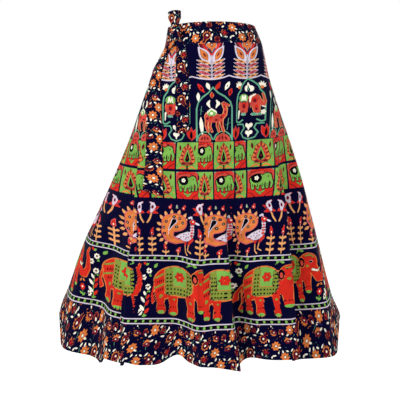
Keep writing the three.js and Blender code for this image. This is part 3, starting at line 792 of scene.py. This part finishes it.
feet = ((-57, 19), (-22, 14), (34, 12), (67, 38))
ankles = ((-57, 38), (-22, 33), (34, 32), (66, 54))
rumpMarks = [(at, 104 + (at + 66) * 0.4) for at in (-68, -62, -56, -50)]
rumpMarks += [(at, 78 + (at + 66) * 0.4) for at in (-66, -60, -54, -48)]
trunkMarks = ((101, 92), (112, 86), (126, 92), (131, 108), (130, 122))
bigElephant = [
    ("orange+1.6 red", ("stroke", (-76, 104, 3), (-83, 72, 5), (-81, 52, 9), (-83, 44, 2))),
    (
        "orange+2.2 red",
        ("oval", -14, 110, 62, 45),
        ("oval", -50, 94, 25, 36),
        ("oval", 66, 126, 27, 31),
        ("stroke", (50, 100, 40), (60, 84, 30)),
        ("stroke", (82, 112, 26), (102, 80, 22), (121, 78, 20), (134, 98, 16), (135, 126, 13)),
        ("stroke", (135, 126, 13), (128, 148, 9), (136, 160, 7)),
        ("stroke", (-62, 80, 26), (-58, 44, 18), (-57, 26, 24)),
        ("stroke", (-24, 76, 30), (-22, 40, 19), (-22, 21, 24)),
        ("stroke", (31, 78, 30), (34, 40, 19), (34, 19, 24)),
        ("stroke", (64, 88, 26), (66, 58, 18), (67, 44, 20)),
    ),
    ("olive", ("stroke", (-72, 120, 5), (-46, 134, 6)), ("stroke", (-74, 90, 5), (-46, 104, 6))),
    ("olive", line(5, (-60, 62), (-54, 68))),
    ("black", *[line(2.4, (x, y), (x + 2, y + 8)) for x, y in rumpMarks]),
    ("green", *each("oval", feet, 10, 5)),
    ("olive", ("oval", -20, 56, 4, 3), ("oval", 34, 58, 5, 4), ("oval", -58, 68, 5, 3, 30)),
    ("black", *[("oval", x + step, y, 2, 2) for x, y in ankles for step in (-7, 0, 7)]),
    ("ground", *[line(1.4, (x, 8), (x, 15)) for x in (-25, -19, 31, 37)]),
    ("orange", ("cover", -2, 112, 46, 46, -14, 110, 62, 45)),
    ("green", ("cover", -2, 112, 43, 43, -14, 110, 60, 43)),
    ("olive", *each("cover", ((-2, 95, 41, 24), (-34, 112, 10, 40), (30, 112, 10, 40)), -14, 110, 58, 41)),
    (
        "black",
        *[("box", at, level, 2.6, 2.6) for at in (-38, -28, -18, -8, 2, 12, 22, 32) for level in (76, 87)],
        *[("box", at, level, 2.6, 2.6) for at in (-38, -29, 25, 34) for level in (98, 109, 120, 131)],
    ),
    ("orange+1.6 green", ("cover", -2, 122, 20, 25, -14, 110, 60, 43)),
    (
        "orange",
        *[("oval", at, 70.5, 1.3, 1.3) for at in range(-40, 41, 8)],
        *[("oval", side, level, 1.3, 1.3) for side in (-43, 39) for level in range(78, 140, 8)],
    ),
    ("orange+1 red", ("flower", -2, 124, 13, 6, 0.24)),
    (
        "maroon",
        *[
            ("oval", -2 + 7 * math.cos(turn * degree), 124 + 7 * math.sin(turn * degree), 1.5, 1.5)
            for turn in range(0, 360, 60)
        ],
    ),
    ("green", ("oval", -2, 124, 3, 3)),
    ("red", ("oval", -2, 124, 1.6, 1.6)),
    ("orange+1.6 black", ("oval", 47, 130, 9, 15, 12)),
    ("coral", ("oval", 48, 128, 4.6, 9, 12)),
    ("olive", ("stroke", (58, 150, 4), (72, 152, 5), (84, 144, 3)), ("oval", 66, 118, 5, 4)),
    ("black", *each("oval", ((60, 146), (68, 149), (76, 146), (83, 139)), 1.6, 1.6)),
    ("white+.8 black", ("oval", 76, 131, 4.4, 3.2)),
    ("black", ("oval", 76, 131, 1.5, 1.5)),
    ("green+1.2 white", ("stroke", (82, 106, 7), (97, 101, 4), (108, 110, 1))),
    ("black", *[line(1.6, (x, y), (x + 9, y + 3)) for x, y in trunkMarks]),
    ("green", ("stroke", (20, 160, 2.4), (46, 172, 2))),
    ("green", *each("leaf", ((30, 164, 24, 178), (40, 169, 54, 164)), 8)),
]
whiteFlowers = ((-92, 141), (-96, 93), (-124, 18))
ringFlowers = [
    ("green", ("stroke", (-111, 4, 3), (-108, 42, 2.6), (-100, 80, 2)), ("leaf", -118, 6, -100, 10, 7)),
    ("white", *each("leaf", ((-109, 22, -126, 42, 10), (-107, 46, -121, 66, 9), (-103, 66, -112, 84, 8)))),
    ("red", *each("leaf", ((-109, 14, -92, 32, 10), (-107, 36, -92, 56, 9), (-103, 56, -90, 72, 8)))),
    ("white", *each("flower", whiteFlowers, 8.5, 7, 0.25), ("flower", -110, 122, 8, 6, 0.3)),
    ("green", *each("leaf", ((-92, 130, -84, 124, 7), (-96, 82, -88, 78, 6), (-76, 150, -66, 164, 9)))),
    ("green", ("leaf", -103, 158, -92, 164, 8)),
    ("black", *each("oval", whiteFlowers, 3.6, 3.6), ("oval", -110, 122, 3, 3)),
    ("orange", *each("oval", (*whiteFlowers, (-110, 122)), 1.8, 1.8)),
    ("red", ("flower", 108, 36, 10, 6, 0.25), ("leaf", -100, 160, -112, 168, 8)),
    ("white", ("oval", 108, 36, 3.4, 3.4)),
    ("green", ("stroke", (108, 25, 2.4), (104, 6, 2))),
    ("green", *each("leaf", ((105, 8, 118, 18), (105, 12, 92, 20)), 7)),
    ("orange", ("leaf", 96, 52, 108, 62, 7), ("leaf", 110, 62, 120, 54, 7)),
]

# The small floral print, drawn round each motif's own middle
daisy = [
    ("maroon+1.4 orange", ("flower", 0, 0, 12, 8, 0.34)),
    ("maroon+1.2 white", ("oval", 0, 0, 3.4, 3.4)),
]
bowlFlower = [
    ("orange", *fan(15, 5, range(20, 161, 28))),
    ("pink+1 maroon", ("oval", 0, 0, 9, 5)),
    ("white", ("oval", 0, 1, 2.8, 1.8)),
    ("mint", ("stroke", (0, -6, 1.6), (3, -15, 1.2))),
]
roundFlower = [
    ("orange+1.5 maroon", ("flower", 0, 0, 8, 10, 0.14)),
    ("orange+.8 black", ("oval", 0, 0, 2.6, 2.6)),
]
smallPaisley = [
    ("orange", *fan(18, 4, range(-30, 151, 30))),
    ("orange+2 ground", ("oval", 0, 0, 10, 10), ("stroke", (-4, -4, 12), (-13, -15, 6), (-20, -16, 1))),
    ("maroon", ("oval", 0, 0, 7.4, 7.4), ("stroke", (-4, -4, 7), (-12, -14, 2))),
    ("orange+1 white", ("oval", 1, 1, 3, 3)),
]
smallTulip = [
    ("mint", ("stroke", (0, -4, 1.6), (2, -17, 1.2))),
    ("white", ("leaf", 2, -10, 15, -5, 4.4), ("leaf", -2, -15, -13, -5, 4.4)),
    ("orange+1.4 maroon", *each("leaf", ((0, -6, 0, 13, 8), (-1, -6, -10, 9, 6), (1, -6, 10, 9, 6)))),
    ("red", ("leaf", 0, -3, 0, 9, 4)),
]
leafPair = [
    ("mint", ("stroke", (0, 0, 1.4), (-10, -6, 1.2), (-20, -2, 1))),
    ("white", ("leaf", 2, 0, 15, 2, 4.8), ("leaf", -3, 4, -9, 15, 4.8)),
]
curlPath = zip((2, 4, 6, 9, 12, 16), (0, 1.3, 2.6, 3.9, 5.0, 5.8))
curl = [("orange", line(1.3, *[(out * math.cos(turn), out * math.sin(turn)) for out, turn in curlPath]))]
# motif, across, up, turn
floralTile = {"across": 150, "up": 104, "onTheBand": 0.95}
floralHem = {"fullTurn": 3150, "foot": 960}
floralSpots = (
    (daisy, 16, 18, 0), (smallPaisley, 52, 24, 15), (roundFlower, 84, 12, 0), (smallTulip, 108, 30, -30),
    (daisy, 138, 50, 20), (bowlFlower, 26, 62, 10), (roundFlower, 62, 58, 0), (smallPaisley, 98, 72, 190),
    (bowlFlower, 132, 90, 160), (smallTulip, 66, 92, 40), (roundFlower, 6, 90, 0), (daisy, 36, 96, 0),
    (leafPair, 34, 32, 40), (leafPair, 72, 36, 130), (leafPair, 122, 8, -60), (leafPair, 44, 74, 200),
    (leafPair, 116, 58, 90), (leafPair, 84, 88, -20), (leafPair, 8, 44, 160), (leafPair, 146, 24, 70),
    (curl, 90, 46, 0), (curl, 118, 100, 90), (curl, 4, 68, 200), (curl, 36, 6, 60),
    (leafPair, 18, 78, 20), (leafPair, 66, 6, 90),
)


def printFloral(inks, x, y, size=1.0):
    across, up = floralTile["across"] * size, floralTile["up"] * size
    for motif, middleX, middleY, turn in floralSpots:
        dx = ((x - middleX * size + across / 2) % across - across / 2) / size
        dy = ((y - middleY * size + up / 2) % up - up / 2) / size
        near = np.flatnonzero(np.hypot(dx, dy) < 24)
        dx, dy = dx[near], dy[near]
        c, s = math.cos(turn * degree), math.sin(turn * degree)
        printPart(inks, near, dx * c + dy * s, dy * c - dx * s, motif)


# Each band of the skirt's print, by how many repeats along and how far down the cloth
def printSkirt(inks, turn, length):
    def repeats(name, low, high):
        where = np.flatnonzero((length > low) & (length < high))
        band = printBands[name]
        phase = repeatsAt(band, turn[where], length[where])
        return where, phase, phase - np.round(phase), band["period"]

    levels = printLevels
    where, phase, away, period = repeats("palmettes", -2, 116)
    printPart(inks, where, away * period, levels["scallop"] - length[where], palmette)
    part = inks[:, where]
    below = length[where] - levels["scallop"] + 10 * (2 * away) ** 2
    paintInk(part, "ground", below)
    paintInk(part, "lilac", 1.9 - np.abs(below))
    inks[:, where] = part

    where, phase, away, period = repeats("arches", 104, levels["squaresTop"] + 2)
    for parity, motif in enumerate((elephantArch, camelArch)):
        for shift in (-1, 0, 1):
            near = np.flatnonzero((np.round(phase) + shift) % 2 == parity)
            near = near[np.abs(away[near] - shift) < 0.62]
            y = levels["archFoot"] - length[where[near]]
            printPart(inks, where[near], (away[near] - shift) * period, y, motif)

    where, phase, away, period = repeats("squares", levels["squaresTop"], levels["squaresBottom"])
    lower = length[where] > levels["squaresMiddle"]
    x = (phase - np.floor(phase) - 0.5) * period
    y = np.where(lower, levels["lowerSquares"], levels["upperSquares"]) - length[where]
    kind = (np.floor(phase) + np.where(lower, 0, 1)) % 2
    for number, motif in enumerate((treeSquare, elephantSquare)):
        near = np.flatnonzero(kind == number)
        printPart(inks, where[near], x[near], y[near], motif)
    part = inks[:, where]
    paintInk(part, "ground", -boxShape(x, y, 0, 0, *squareHalf))
    inks[:, where] = part

    where, phase, away, period = repeats("peacocks", levels["squaresBottom"], levels["firstBorder"] - 6)
    x, y = away * period, levels["peacockFoot"] - length[where]
    plantX = np.where(x > 8, plantMiddles[1], plantMiddles[0])
    printPart(inks, where, x - plantX, y, curledPlants)
    printPart(inks, where, x, y, peacock)

    where, phase, away, period = repeats("elephants", levels["firstBorder"] + 6, levels["secondBorder"] - 6)
    x, y = away * period, levels["elephantFoot"] - length[where]
    printPart(inks, where, x, y, ringFlowers)
    printPart(inks, where, np.where(x < 0, x + period, x), y, bigElephant)
    printPart(inks, where, x, y, bigElephant)

    where = np.flatnonzero(length > levels["secondBorder"] + 4)
    part = inks[:, where]
    printFloral(part, turn[where] * floralHem["fullTurn"], floralHem["foot"] - length[where])
    inks[:, where] = part

    for level, dashes in ((levels["firstBorder"], 110), (levels["secondBorder"], 128)):
        where = np.flatnonzero(np.abs(length - level) < 16)
        part = inks[:, where]
        away = np.abs(length[where] - level)
        paintInk(part, "ground", 8.6 - away)
        paintInk(part, "lilac", 1.6 - np.abs(away - 7))
        dash = (turn[where] * dashes) % 1
        paintInk(part, "black", 4.8 - away)
        paintInk(part, "green", np.minimum(4.4 - away, (np.abs(dash - 0.5) - 0.34) * 22))
        inks[:, where] = part


print("print tables ready")


# Plain weave cotton, screen printed: inks with clean edges over a dyed navy ground, on a dry and
# matt face that only its threads and slubs break up. The inside is the same dye, paler.
# Threads lie 0.5 to 0.55 mm apart, as drawn; they are finer than that in the real cloth.
cottons = {
    "printedCotton": {"ground": "#040326", "threads": 0.55, "bump": 0.35},
    "floralCotton": {"ground": "#040325", "threads": 0.5, "bump": 0.35},
    "reverseCotton": {"ground": "#1c1a48", "threads": 0.55, "bump": 0.45},
}


def cottonMaterial(name, printed=True):
    settings = cottons[name]
    material, tree = newMaterial(name)

    def reckon(operation, *values):
        return addNode(tree, "ShaderNodeMath", {"operation": operation}, dict(enumerate(values))).outputs[0]

    spot = addNode(tree, "ShaderNodeUVMap", {"uv_map": "threads"})
    colour = addNode(tree, "ShaderNodeRGB")
    colour.outputs[0].default_value = toLinear(settings["ground"])
    colour = colour.outputs[0]
    for screen in range(3 if printed else 0):
        layer = addNode(tree, "ShaderNodeAttribute", {"attribute_name": f"screen{screen + 1}"})
        parts = addNode(tree, "ShaderNodeSeparateColor", None, {"Color": layer.outputs["Color"]})
        for channel, socket in enumerate((*parts.outputs, layer.outputs["Alpha"])):
            ink = toLinear(inkColours[inkNames[screen * 4 + channel]])
            mask = reckon("GREATER_THAN", socket, 0.0)
            mix = {0: mask, 6: colour, 7: ink}
            colour = addNode(tree, "ShaderNodeMix", {"data_type": "RGBA"}, mix).outputs[2]
    # Worn ink: paler and darker clouds a few centimetres wide, as after some washes
    cloudSettings = {"Vector": spot.outputs[0], "Scale": 34.0, "Detail": 3.0}
    clouds = addNode(tree, "ShaderNodeTexNoise", None, cloudSettings).outputs[0]
    # Threads run along and across the cloth, with slubs where a thread is thicker
    parts = addNode(tree, "ShaderNodeSeparateXYZ", None, {0: spot.outputs[0]})
    perMetre = 2000 * math.pi / settings["threads"]
    turns = [reckon("MULTIPLY", socket, perMetre) for socket in parts.outputs[:2]]
    weave = reckon("MULTIPLY", *[reckon("SINE", turn) for turn in turns])
    longer = {0: spot.outputs[0], 1: (900.0, 60.0, 1.0)}
    longer = addNode(tree, "ShaderNodeVectorMath", {"operation": "MULTIPLY"}, longer).outputs[0]
    slubSettings = {"Vector": longer, "Scale": 1.0, "Detail": 1.0}
    slubs = addNode(tree, "ShaderNodeTexNoise", None, slubSettings).outputs[0]
    height = reckon("MULTIPLY_ADD", weave, 0.3, slubs)
    relief = {"Strength": settings["bump"], "Distance": 0.0003, "Height": height}
    bump = addNode(tree, "ShaderNodeBump", None, relief)
    shade = []
    for noise, low, high in ((clouds, 0.74, 0.98), (slubs, 0.93, 1.07)):
        span = {"Value": noise, "From Min": 0.3, "From Max": 0.7, "To Min": low, "To Max": high}
        shade.append(addNode(tree, "ShaderNodeMapRange", None, span).outputs[0])
    worn = {0: colour, "Scale": reckon("MULTIPLY", *shade)}
    coat(tree, {
        "Base Color": addNode(tree, "ShaderNodeVectorMath", {"operation": "SCALE"}, worn).outputs[0],
        "Roughness": 0.84,
        "IOR": 1.4,
        "Specular IOR Level": 0.03,
        "Sheen Weight": 0.02,
        "Sheen Roughness": 0.5,
        "Normal": bump.outputs[0],
    })
    return material


for name in cottons:
    materials[name] = cottonMaterial(name, name != "reverseCotton")
# Spun polyester sewing thread: smoother than the cloth, so each stitch has a faint light on it
materials["sewingThread"], tree = newMaterial("sewingThread")
coat(tree, {"Base Color": toLinear("#1a1858"), "Roughness": 0.6})


def layThreads(mesh, x, y):
    setMap(mesh, "threads", x * 0.001, y * 0.001)
    mesh.uv_layers["OFBake"].active = True


# The printed face of each panel. Its hem turns up inside, and so does a free edge.
hemTurn = ((950, 0), (950.7, 0.5), (950.4, 1.2), (949.2, 1.7), (943, 1.9), (938, 1.9))
edgeTurn = ((9, 1.9), (3, 1.9), (0.4, 1.7), (-0.4, 1.2), (-0.6, 0.5), (0, 0))
# from, to, columns, rows, node
panels = {
    "skirt_front_left": (-98, -32, 236, 400, "panel_front_outer"),
    "skirt_front_middle": (-32, 34, 240, 400, "panel_front_outer"),
    "skirt_front_right": (34, 100, 240, 400, "panel_front_outer"),
    "skirt_back_right": (100.12, 175, 150, 280, "panel_back"),
    "skirt_back_left": (175, 250, 150, 280, "panel_back"),
    "skirt_under_side": (250.12, 266, 50, 280, "panel_front_under"),
    "skirt_under_lap": (266, 412, 130, 90, "panel_front_under"),
}
reverses = {
    "reverse_front": (-97.6, 100, 260, 48, "panel_front_outer"),
    "reverse_back": (100.12, 250, 110, 90, "panel_back"),
    "reverse_under": (250.12, 411.6, 100, 70, "panel_front_under"),
}
reverseOffset = -1.3


def panelPlaces(start, end, columns, rows, across, down):
    hem, hemDepth = zip(*hemTurn)
    levels = np.concatenate([np.linspace(0, 950, rows + 2 - len(hemTurn))[:-1], hem])
    inward = np.concatenate([np.zeros(rows + 1 - len(hemTurn)), hemDepth])
    row = np.rint(down * rows).astype(int)
    length, depth = levels[row], inward[row]
    shares = np.linspace(0, 1, columns + 1)
    extra, edgeDepth = np.zeros(columns + 1), np.zeros(columns + 1)
    turned = len(edgeTurn)
    if start == cloth["outerEdge"] or end == cloth["underEdge"]:
        shares = np.concatenate([np.zeros(turned), np.linspace(0, 1, columns + 2 - turned)[1:]])
        extra[:turned], edgeDepth[:turned] = np.transpose(edgeTurn)
    if end == cloth["underEdge"]:
        shares, extra, edgeDepth = 1 - shares[::-1], -extra[::-1], edgeDepth[::-1]
    column = np.rint(across * columns).astype(int)
    azimuth = start + (end - start) * shares[column]
    azimuth = azimuth + extra[column] / speedAt(azimuth, length) / degree
    return azimuth, length, np.maximum(depth, edgeDepth[column])


for name, (start, end, columns, rows, node) in panels.items():
    mesh, across, down = flatGrid(name, columns, rows)
    azimuth, length, depth = panelPlaces(start, end, columns, rows, across, down)
    layThreads(mesh, roundAt(azimuth, length), length)
    inks = emptyInks(len(across))
    printSkirt(inks, turnAt(azimuth, length), length)
    storeInks(mesh, inks)
    finishCloth(mesh, offsetPoint(azimuth, length, -layerDepth(azimuth) - depth), "printedCotton", node)
print("panels printed")

for name, (start, end, columns, rows, node) in reverses.items():
    mesh, across, down = flatGrid(name, columns, rows)
    azimuth, length = start + (end - start) * across, 1 + 945 * down
    layThreads(mesh, roundAt(azimuth, length), length)
    points = offsetPoint(azimuth, length, -layerDepth(azimuth) + reverseOffset)
    finishCloth(mesh, points, "reverseCotton", node)
    mesh.flip_normals()


def finishFloral(mesh, points, x, y, node):
    layThreads(mesh, x, y)
    inks = emptyInks(len(x))
    printFloral(inks, x, y, floralTile["onTheBand"])
    storeInks(mesh, inks)
    finishCloth(mesh, points, "floralCotton", node)


# The waistband is folded over at its top, so its grid runs up outside and down inside
bandTurn = ((-63.5, 0), (-65.6, 0.15), (-66, 0.8), (-65.9, 1.4), (-65, 1.95), (-62, 2.0))
bands = {
    "band_outer": (-98, 250, 420, 56, "waistband"),
    "band_under": (250.27, 412, 120, 36, "waistband_under"),
}
for name, (start, end, columns, rows, node) in bands.items():
    outside = (rows + 1 - len(bandTurn)) // 2
    inside = rows + 1 - len(bandTurn) - outside
    fold, foldDepth = zip(*bandTurn)
    levels = [*np.linspace(-0.3, -61, outside), *fold, *np.linspace(-59, -0.3, inside)]
    inward = [*np.zeros(outside), *foldDepth, *np.full(inside, 2.0)]
    mesh, across, down = flatGrid(name, columns, rows)
    row = np.rint((1 - down) * rows).astype(int)
    azimuth = start + (end - start) * across
    length, depth = np.array(levels)[row], np.array(inward)[row]
    run = np.concatenate([[0], np.cumsum(np.hypot(np.diff(levels), np.diff(inward)))])[row]
    around = roundAt(azimuth, cloth["bandHeight"] / -2)
    finishFloral(mesh, offsetPoint(azimuth, length, -layerDepth(azimuth) - depth), around, run, node)
print("waistband folded")

# The ties. Each strip is one grid round its front, both edges and its back.
# length, azimuth, halfWidth, stand, lift
longTail = np.array([
    (-15.4, -54, 12, 7.4, 0), (25, -67, 19, 1.4, 2), (100, -61, 23, 1.6, 8), (180, -50, 23, 1.0, 8),
    (250, -43, 22, 1.2, 6), (350, -35.5, 21, 1.8, 4), (462, -29, 21, 2.6, 2),
])
shortTail = np.array([
    (-15.4, -42.8, 10, 7.4, 0), (30, -35, 17, 1.0, 2), (100, -26.5, 20, 0.9, 3),
    (200, -21.5, 20, 1.2, 3), (268, -19.3, 20, 1.6, 2),
])
stripWall = 1.6


def roundStrip(share):
    # Across from -1 to 1 on the front, then back again on the reverse
    front = share < 0.5
    side = np.where(front, share * 4 - 1, 3 - share * 4)
    return np.clip(side * 1.02, -1, 1), np.where(front, stripWall, 0.0)


def tailPoints(table, across, length, outward):
    values = [alongTable(table[:, 0], table[:, column], length) for column in range(1, 5)]
    middle, halfWidth, stand, lift = values
    azimuth = middle + across * halfWidth / speedAt(middle, length) / degree
    return offsetPoint(azimuth, length, stand + lift * (1 - across) / 2 + outward)


tails = {
    "tail_long": {"table": longTail, "node": "tie_tail_long", "rows": 200, "at": 20, "slant": 14},
    "tail_short": {"table": shortTail, "node": "tie_tail_short", "rows": 120, "at": 95, "slant": -10},
}
for name, tail in tails.items():
    table = tail["table"]
    mesh, across, down = flatGrid(name, 48, tail["rows"])
    side, outward = roundStrip(across)
    first, last = table[0, 0], table[-1, 0]
    length = first + (last - first) * down
    slant = tail["slant"] * side * smoothStep((down - 0.8) / 0.2)
    # Folded edges are soft, and the strip is pinched along its middle below the knot
    pinch = 3.0 * (1 - smoothStep((length - first) / 110)) * (1 - side**2) - 1.2 * side**4
    ripple = 0.9 * np.sin(side * 5 + length * 0.05) * smoothStep(length / 90)
    points = tailPoints(table, side, np.minimum(length + slant, last),
        outward + np.maximum(pinch + ripple, 0) * 0.9)
    halfWidth = alongTable(table[:, 0], table[:, 2], length)
    finishFloral(mesh, points, tail["at"] + side * halfWidth + (outward == 0) * 90, length, tail["node"])


def bandAxes(azimuth, length):
    place = np.array([azimuth, length], float)
    out = clothNormal(place[:1], place[1:])[0]
    up = np.array([0, 0, 1.0]) - out * out[2]
    up /= np.linalg.norm(up)
    return clothPoint(place[:1], place[1:])[0], out, up, np.cross(up, out)


# The strip that comes over the band to the knot: azimuth, length, halfWidth, stand
leadEnds = ((-40.2, -44, 9, 8.5), (-29, -55, 11, 0.5))
mesh, across, down = flatGrid("lead", 30, 36)
side, outward = roundStrip(down)
start, end = leadEnds
azimuth = start[0] + (end[0] - start[0]) * across
halfWidth = start[2] + (end[2] - start[2]) * across
length = np.maximum(start[1] + (end[1] - start[1]) * across + side * halfWidth, -cloth["bandHeight"])
stand = start[3] + (end[3] - start[3]) * smoothStep(across * 1.4)
stand += 0.8 * np.abs(np.sin(side * 4)) * (1 - across)
along = (azimuth - start[0]) * degree * 145
points = offsetPoint(azimuth, length, stand + outward)
finishFloral(mesh, points, along + 40, side * halfWidth + 30, "tie_lead")

# The bow loop goes up, turns over and comes down behind itself
loop = {
    "azimuth": -51,
    "length": -60.2,
    "halfWidth": 25,
    "height": 45,
    "gap": 3.4,
    "lean": -8,
    "standOff": 8,
    "wall": 1.8,
}
origin, out, up, around = bandAxes(loop["azimuth"], loop["length"])
radius = (loop["gap"] + loop["wall"]) / 2
mesh, across, down = flatGrid("loop", 60, 96)
side, outward = roundStrip(across)
whole = 2 * loop["height"] + math.pi * radius
travel = down * whole
turned = np.clip((travel - loop["height"]) / radius, 0, math.pi)
rise = np.minimum(loop["height"], np.minimum(travel, whole - travel))
share = rise / loop["height"]
halfWidth = loop["halfWidth"] * (0.55 + 0.45 * smoothStep(share * 1.6))
crease = 1.1 * np.cos(side * 7) * (1 - share) + 0.8 * np.sin(side * 3 + 1) * share
sink = outward - loop["wall"] / 2
points = (
    origin
    + around * (side * halfWidth + loop["lean"] * share)[:, None]
    + out * (loop["standOff"] + np.cos(turned) * (radius + sink) + crease * 0.6)[:, None]
    + up * (rise + np.sin(turned) * (radius + sink) - 3.0 * side**2 * share)[:, None]
)
finishFloral(mesh, points, side * halfWidth + 60 + (outward == 0) * 70, travel, "tie_loop")

# The knot is a pillow with a flat back, wrapped slantwise by the ties
knot = {
    "azimuth": -48,
    "length": -38,
    "halfWidth": 21,
    "halfHeight": 23,
    "thickness": 26,
    "standOff": 0.4,
    "cinch": 0.16,
    "backShare": 0.32,
}
origin, out, up, around = bandAxes(knot["azimuth"], knot["length"])
mesh, across, down = flatGrid("knot", 96, 64)
turn = (across * 2 - 1) * math.pi
angle = math.pi * down
level = np.cos(angle)
along = np.sign(level) * np.abs(level) ** 0.6
swell = np.maximum(np.sin(angle), 0) ** 0.8
waist = 1 - knot["cinch"] * (1 - along**2)
front = np.cos(turn) > 0
depth = np.cos(turn) * np.where(front, (1 - knot["backShare"]) * waist, knot["backShare"])
# Soft pleats that gather the strip where it goes round
pleat = np.sin(turn * 1.2 + along * 3.4) * 1.6 + np.sin(turn * 4.0 - along * 6.0) * 0.8
pleat = pleat * swell * smoothStep(np.cos(turn) * 1.4 + 0.2)
points = (
    origin
    + up * (along * knot["halfHeight"])[:, None]
    + around * (np.sin(turn) * swell * knot["halfWidth"] * waist)[:, None]
    + out * (knot["standOff"] + knot["thickness"] * (knot["backShare"] + depth * swell) + pleat)[:, None]
)
finishFloral(mesh, points, turn * 20 + 30, along * 26 + 60, "tie_knot")


# Rows of small stitches: along the seam below the band, round the hem and along the free edge
stitch = {"halfLong": 1.25, "halfThick": 0.32, "halfReach": 1.1}


def stitchRow(name, azimuth, length, step):
    bm = bmesh.new()
    points = offsetPoint(azimuth, length, 0.1 - layerDepth(azimuth)) * 0.001
    runs = np.concatenate([[0], np.cumsum(np.linalg.norm(np.diff(points, axis=0), axis=1))])
    half, thick, reach = (value * 0.001 for value in stitch.values())
    for travel in np.arange(step * 0.0005, runs[-1], step * 0.001):
        ends = [
            Vector([np.interp(travel + shift, runs, axis) for axis in points.T])
            for shift in (-reach, reach)
        ]
        turned = (ends[1] - ends[0]).to_track_quat("X", "Z").to_matrix().to_4x4()
        place = Matrix.Translation((ends[0] + ends[1]) / 2) @ turned
        place = place @ Matrix.Diagonal((half, thick, thick, 1))
        bmesh.ops.create_icosphere(bm, subdivisions=1, radius=1, matrix=place)
    mesh = bpy.data.meshes.new(name)
    bm.to_mesh(mesh)
    bm.free()
    piece = addPiece(mesh, "sewingThread")
    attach(piece, "root")


around = np.arange(-97.5, 250, 0.25)
stitchRow("seam_stitches", around, np.full(len(around), -3.5), 3.2)
stitchRow("hem_stitches", around, np.full(len(around), 939.0), 5.5)
down = np.arange(6, 946, 2.0)
insideEdge = cloth["outerEdge"] + 7 / degree / np.interp(roundLengths, ringTable[:, 0], ringTable[:, 4])
stitchRow("edge_stitches", np.interp(down, roundLengths, insideEdge), down, 4.0)
print("stitches sewn")

view = {"lens": 80.0, "at": (-0.040, -2.835, -0.232), "down": 5.7}
camera = bpy.data.cameras.new("camera")
camera.lens = view["lens"]
camera.sensor_width = 36.0
eye = bpy.data.objects.new("camera", camera)
eye.location = view["at"]
eye.rotation_euler = (math.radians(90 - view["down"]), 0, 0)
bpy.context.scene.collection.objects.link(eye)
bpy.context.scene.camera = eye

# Studio: a pale floor below the hem, and large soft lights in a white room
studio = {"floorZ": -1.42, "reach": 40.0, "glow": 1.0}
# Matt white paint, rolled: no shine, so the floor runs into the white behind it
materials["matteWhitePaint"], tree = newMaterial("matteWhitePaint")
coat(tree, {"Base Color": toLinear("#ffffff"), "Roughness": 1.0, "Specular IOR Level": 0.0})
bm = bmesh.new()
bmesh.ops.create_grid(bm, x_segments=1, y_segments=1, size=studio["reach"])
mesh = bpy.data.meshes.new("floor")
bm.to_mesh(mesh)
bm.free()
mesh.transform(Matrix.Translation((0, 0, studio["floorZ"])))
addPiece(mesh, "matteWhitePaint")

world = bpy.data.worlds.new("studio")
world.use_nodes = True
world.node_tree.nodes["Background"].inputs[0].default_value = (1, 1, 1, 1)
world.node_tree.nodes["Background"].inputs[1].default_value = studio["glow"]
bpy.context.scene.world = world
lights = {
    "key": {"at": (-1.9, -2.6, 1.5), "size": 2.6, "watts": 60},
    "fill": {"at": (2.2, -2.4, 0.6), "size": 2.2, "watts": 5},
    "back": {"at": (0.8, 2.8, 1.4), "size": 2.6, "watts": 22},
}
for name, light in lights.items():
    lamp = bpy.data.lights.new(name, "AREA")
    lamp.size = light["size"]
    lamp.energy = light["watts"]
    holder = bpy.data.objects.new(name, lamp)
    holder.location = light["at"]
    aim = Vector((0, 0, -0.5)) - Vector(light["at"])
    holder.rotation_euler = aim.to_track_quat("-Z", "Y").to_euler()
    bpy.context.scene.collection.objects.link(holder)
bpy.context.scene.view_settings.view_transform = "Standard"
print("studio lit")
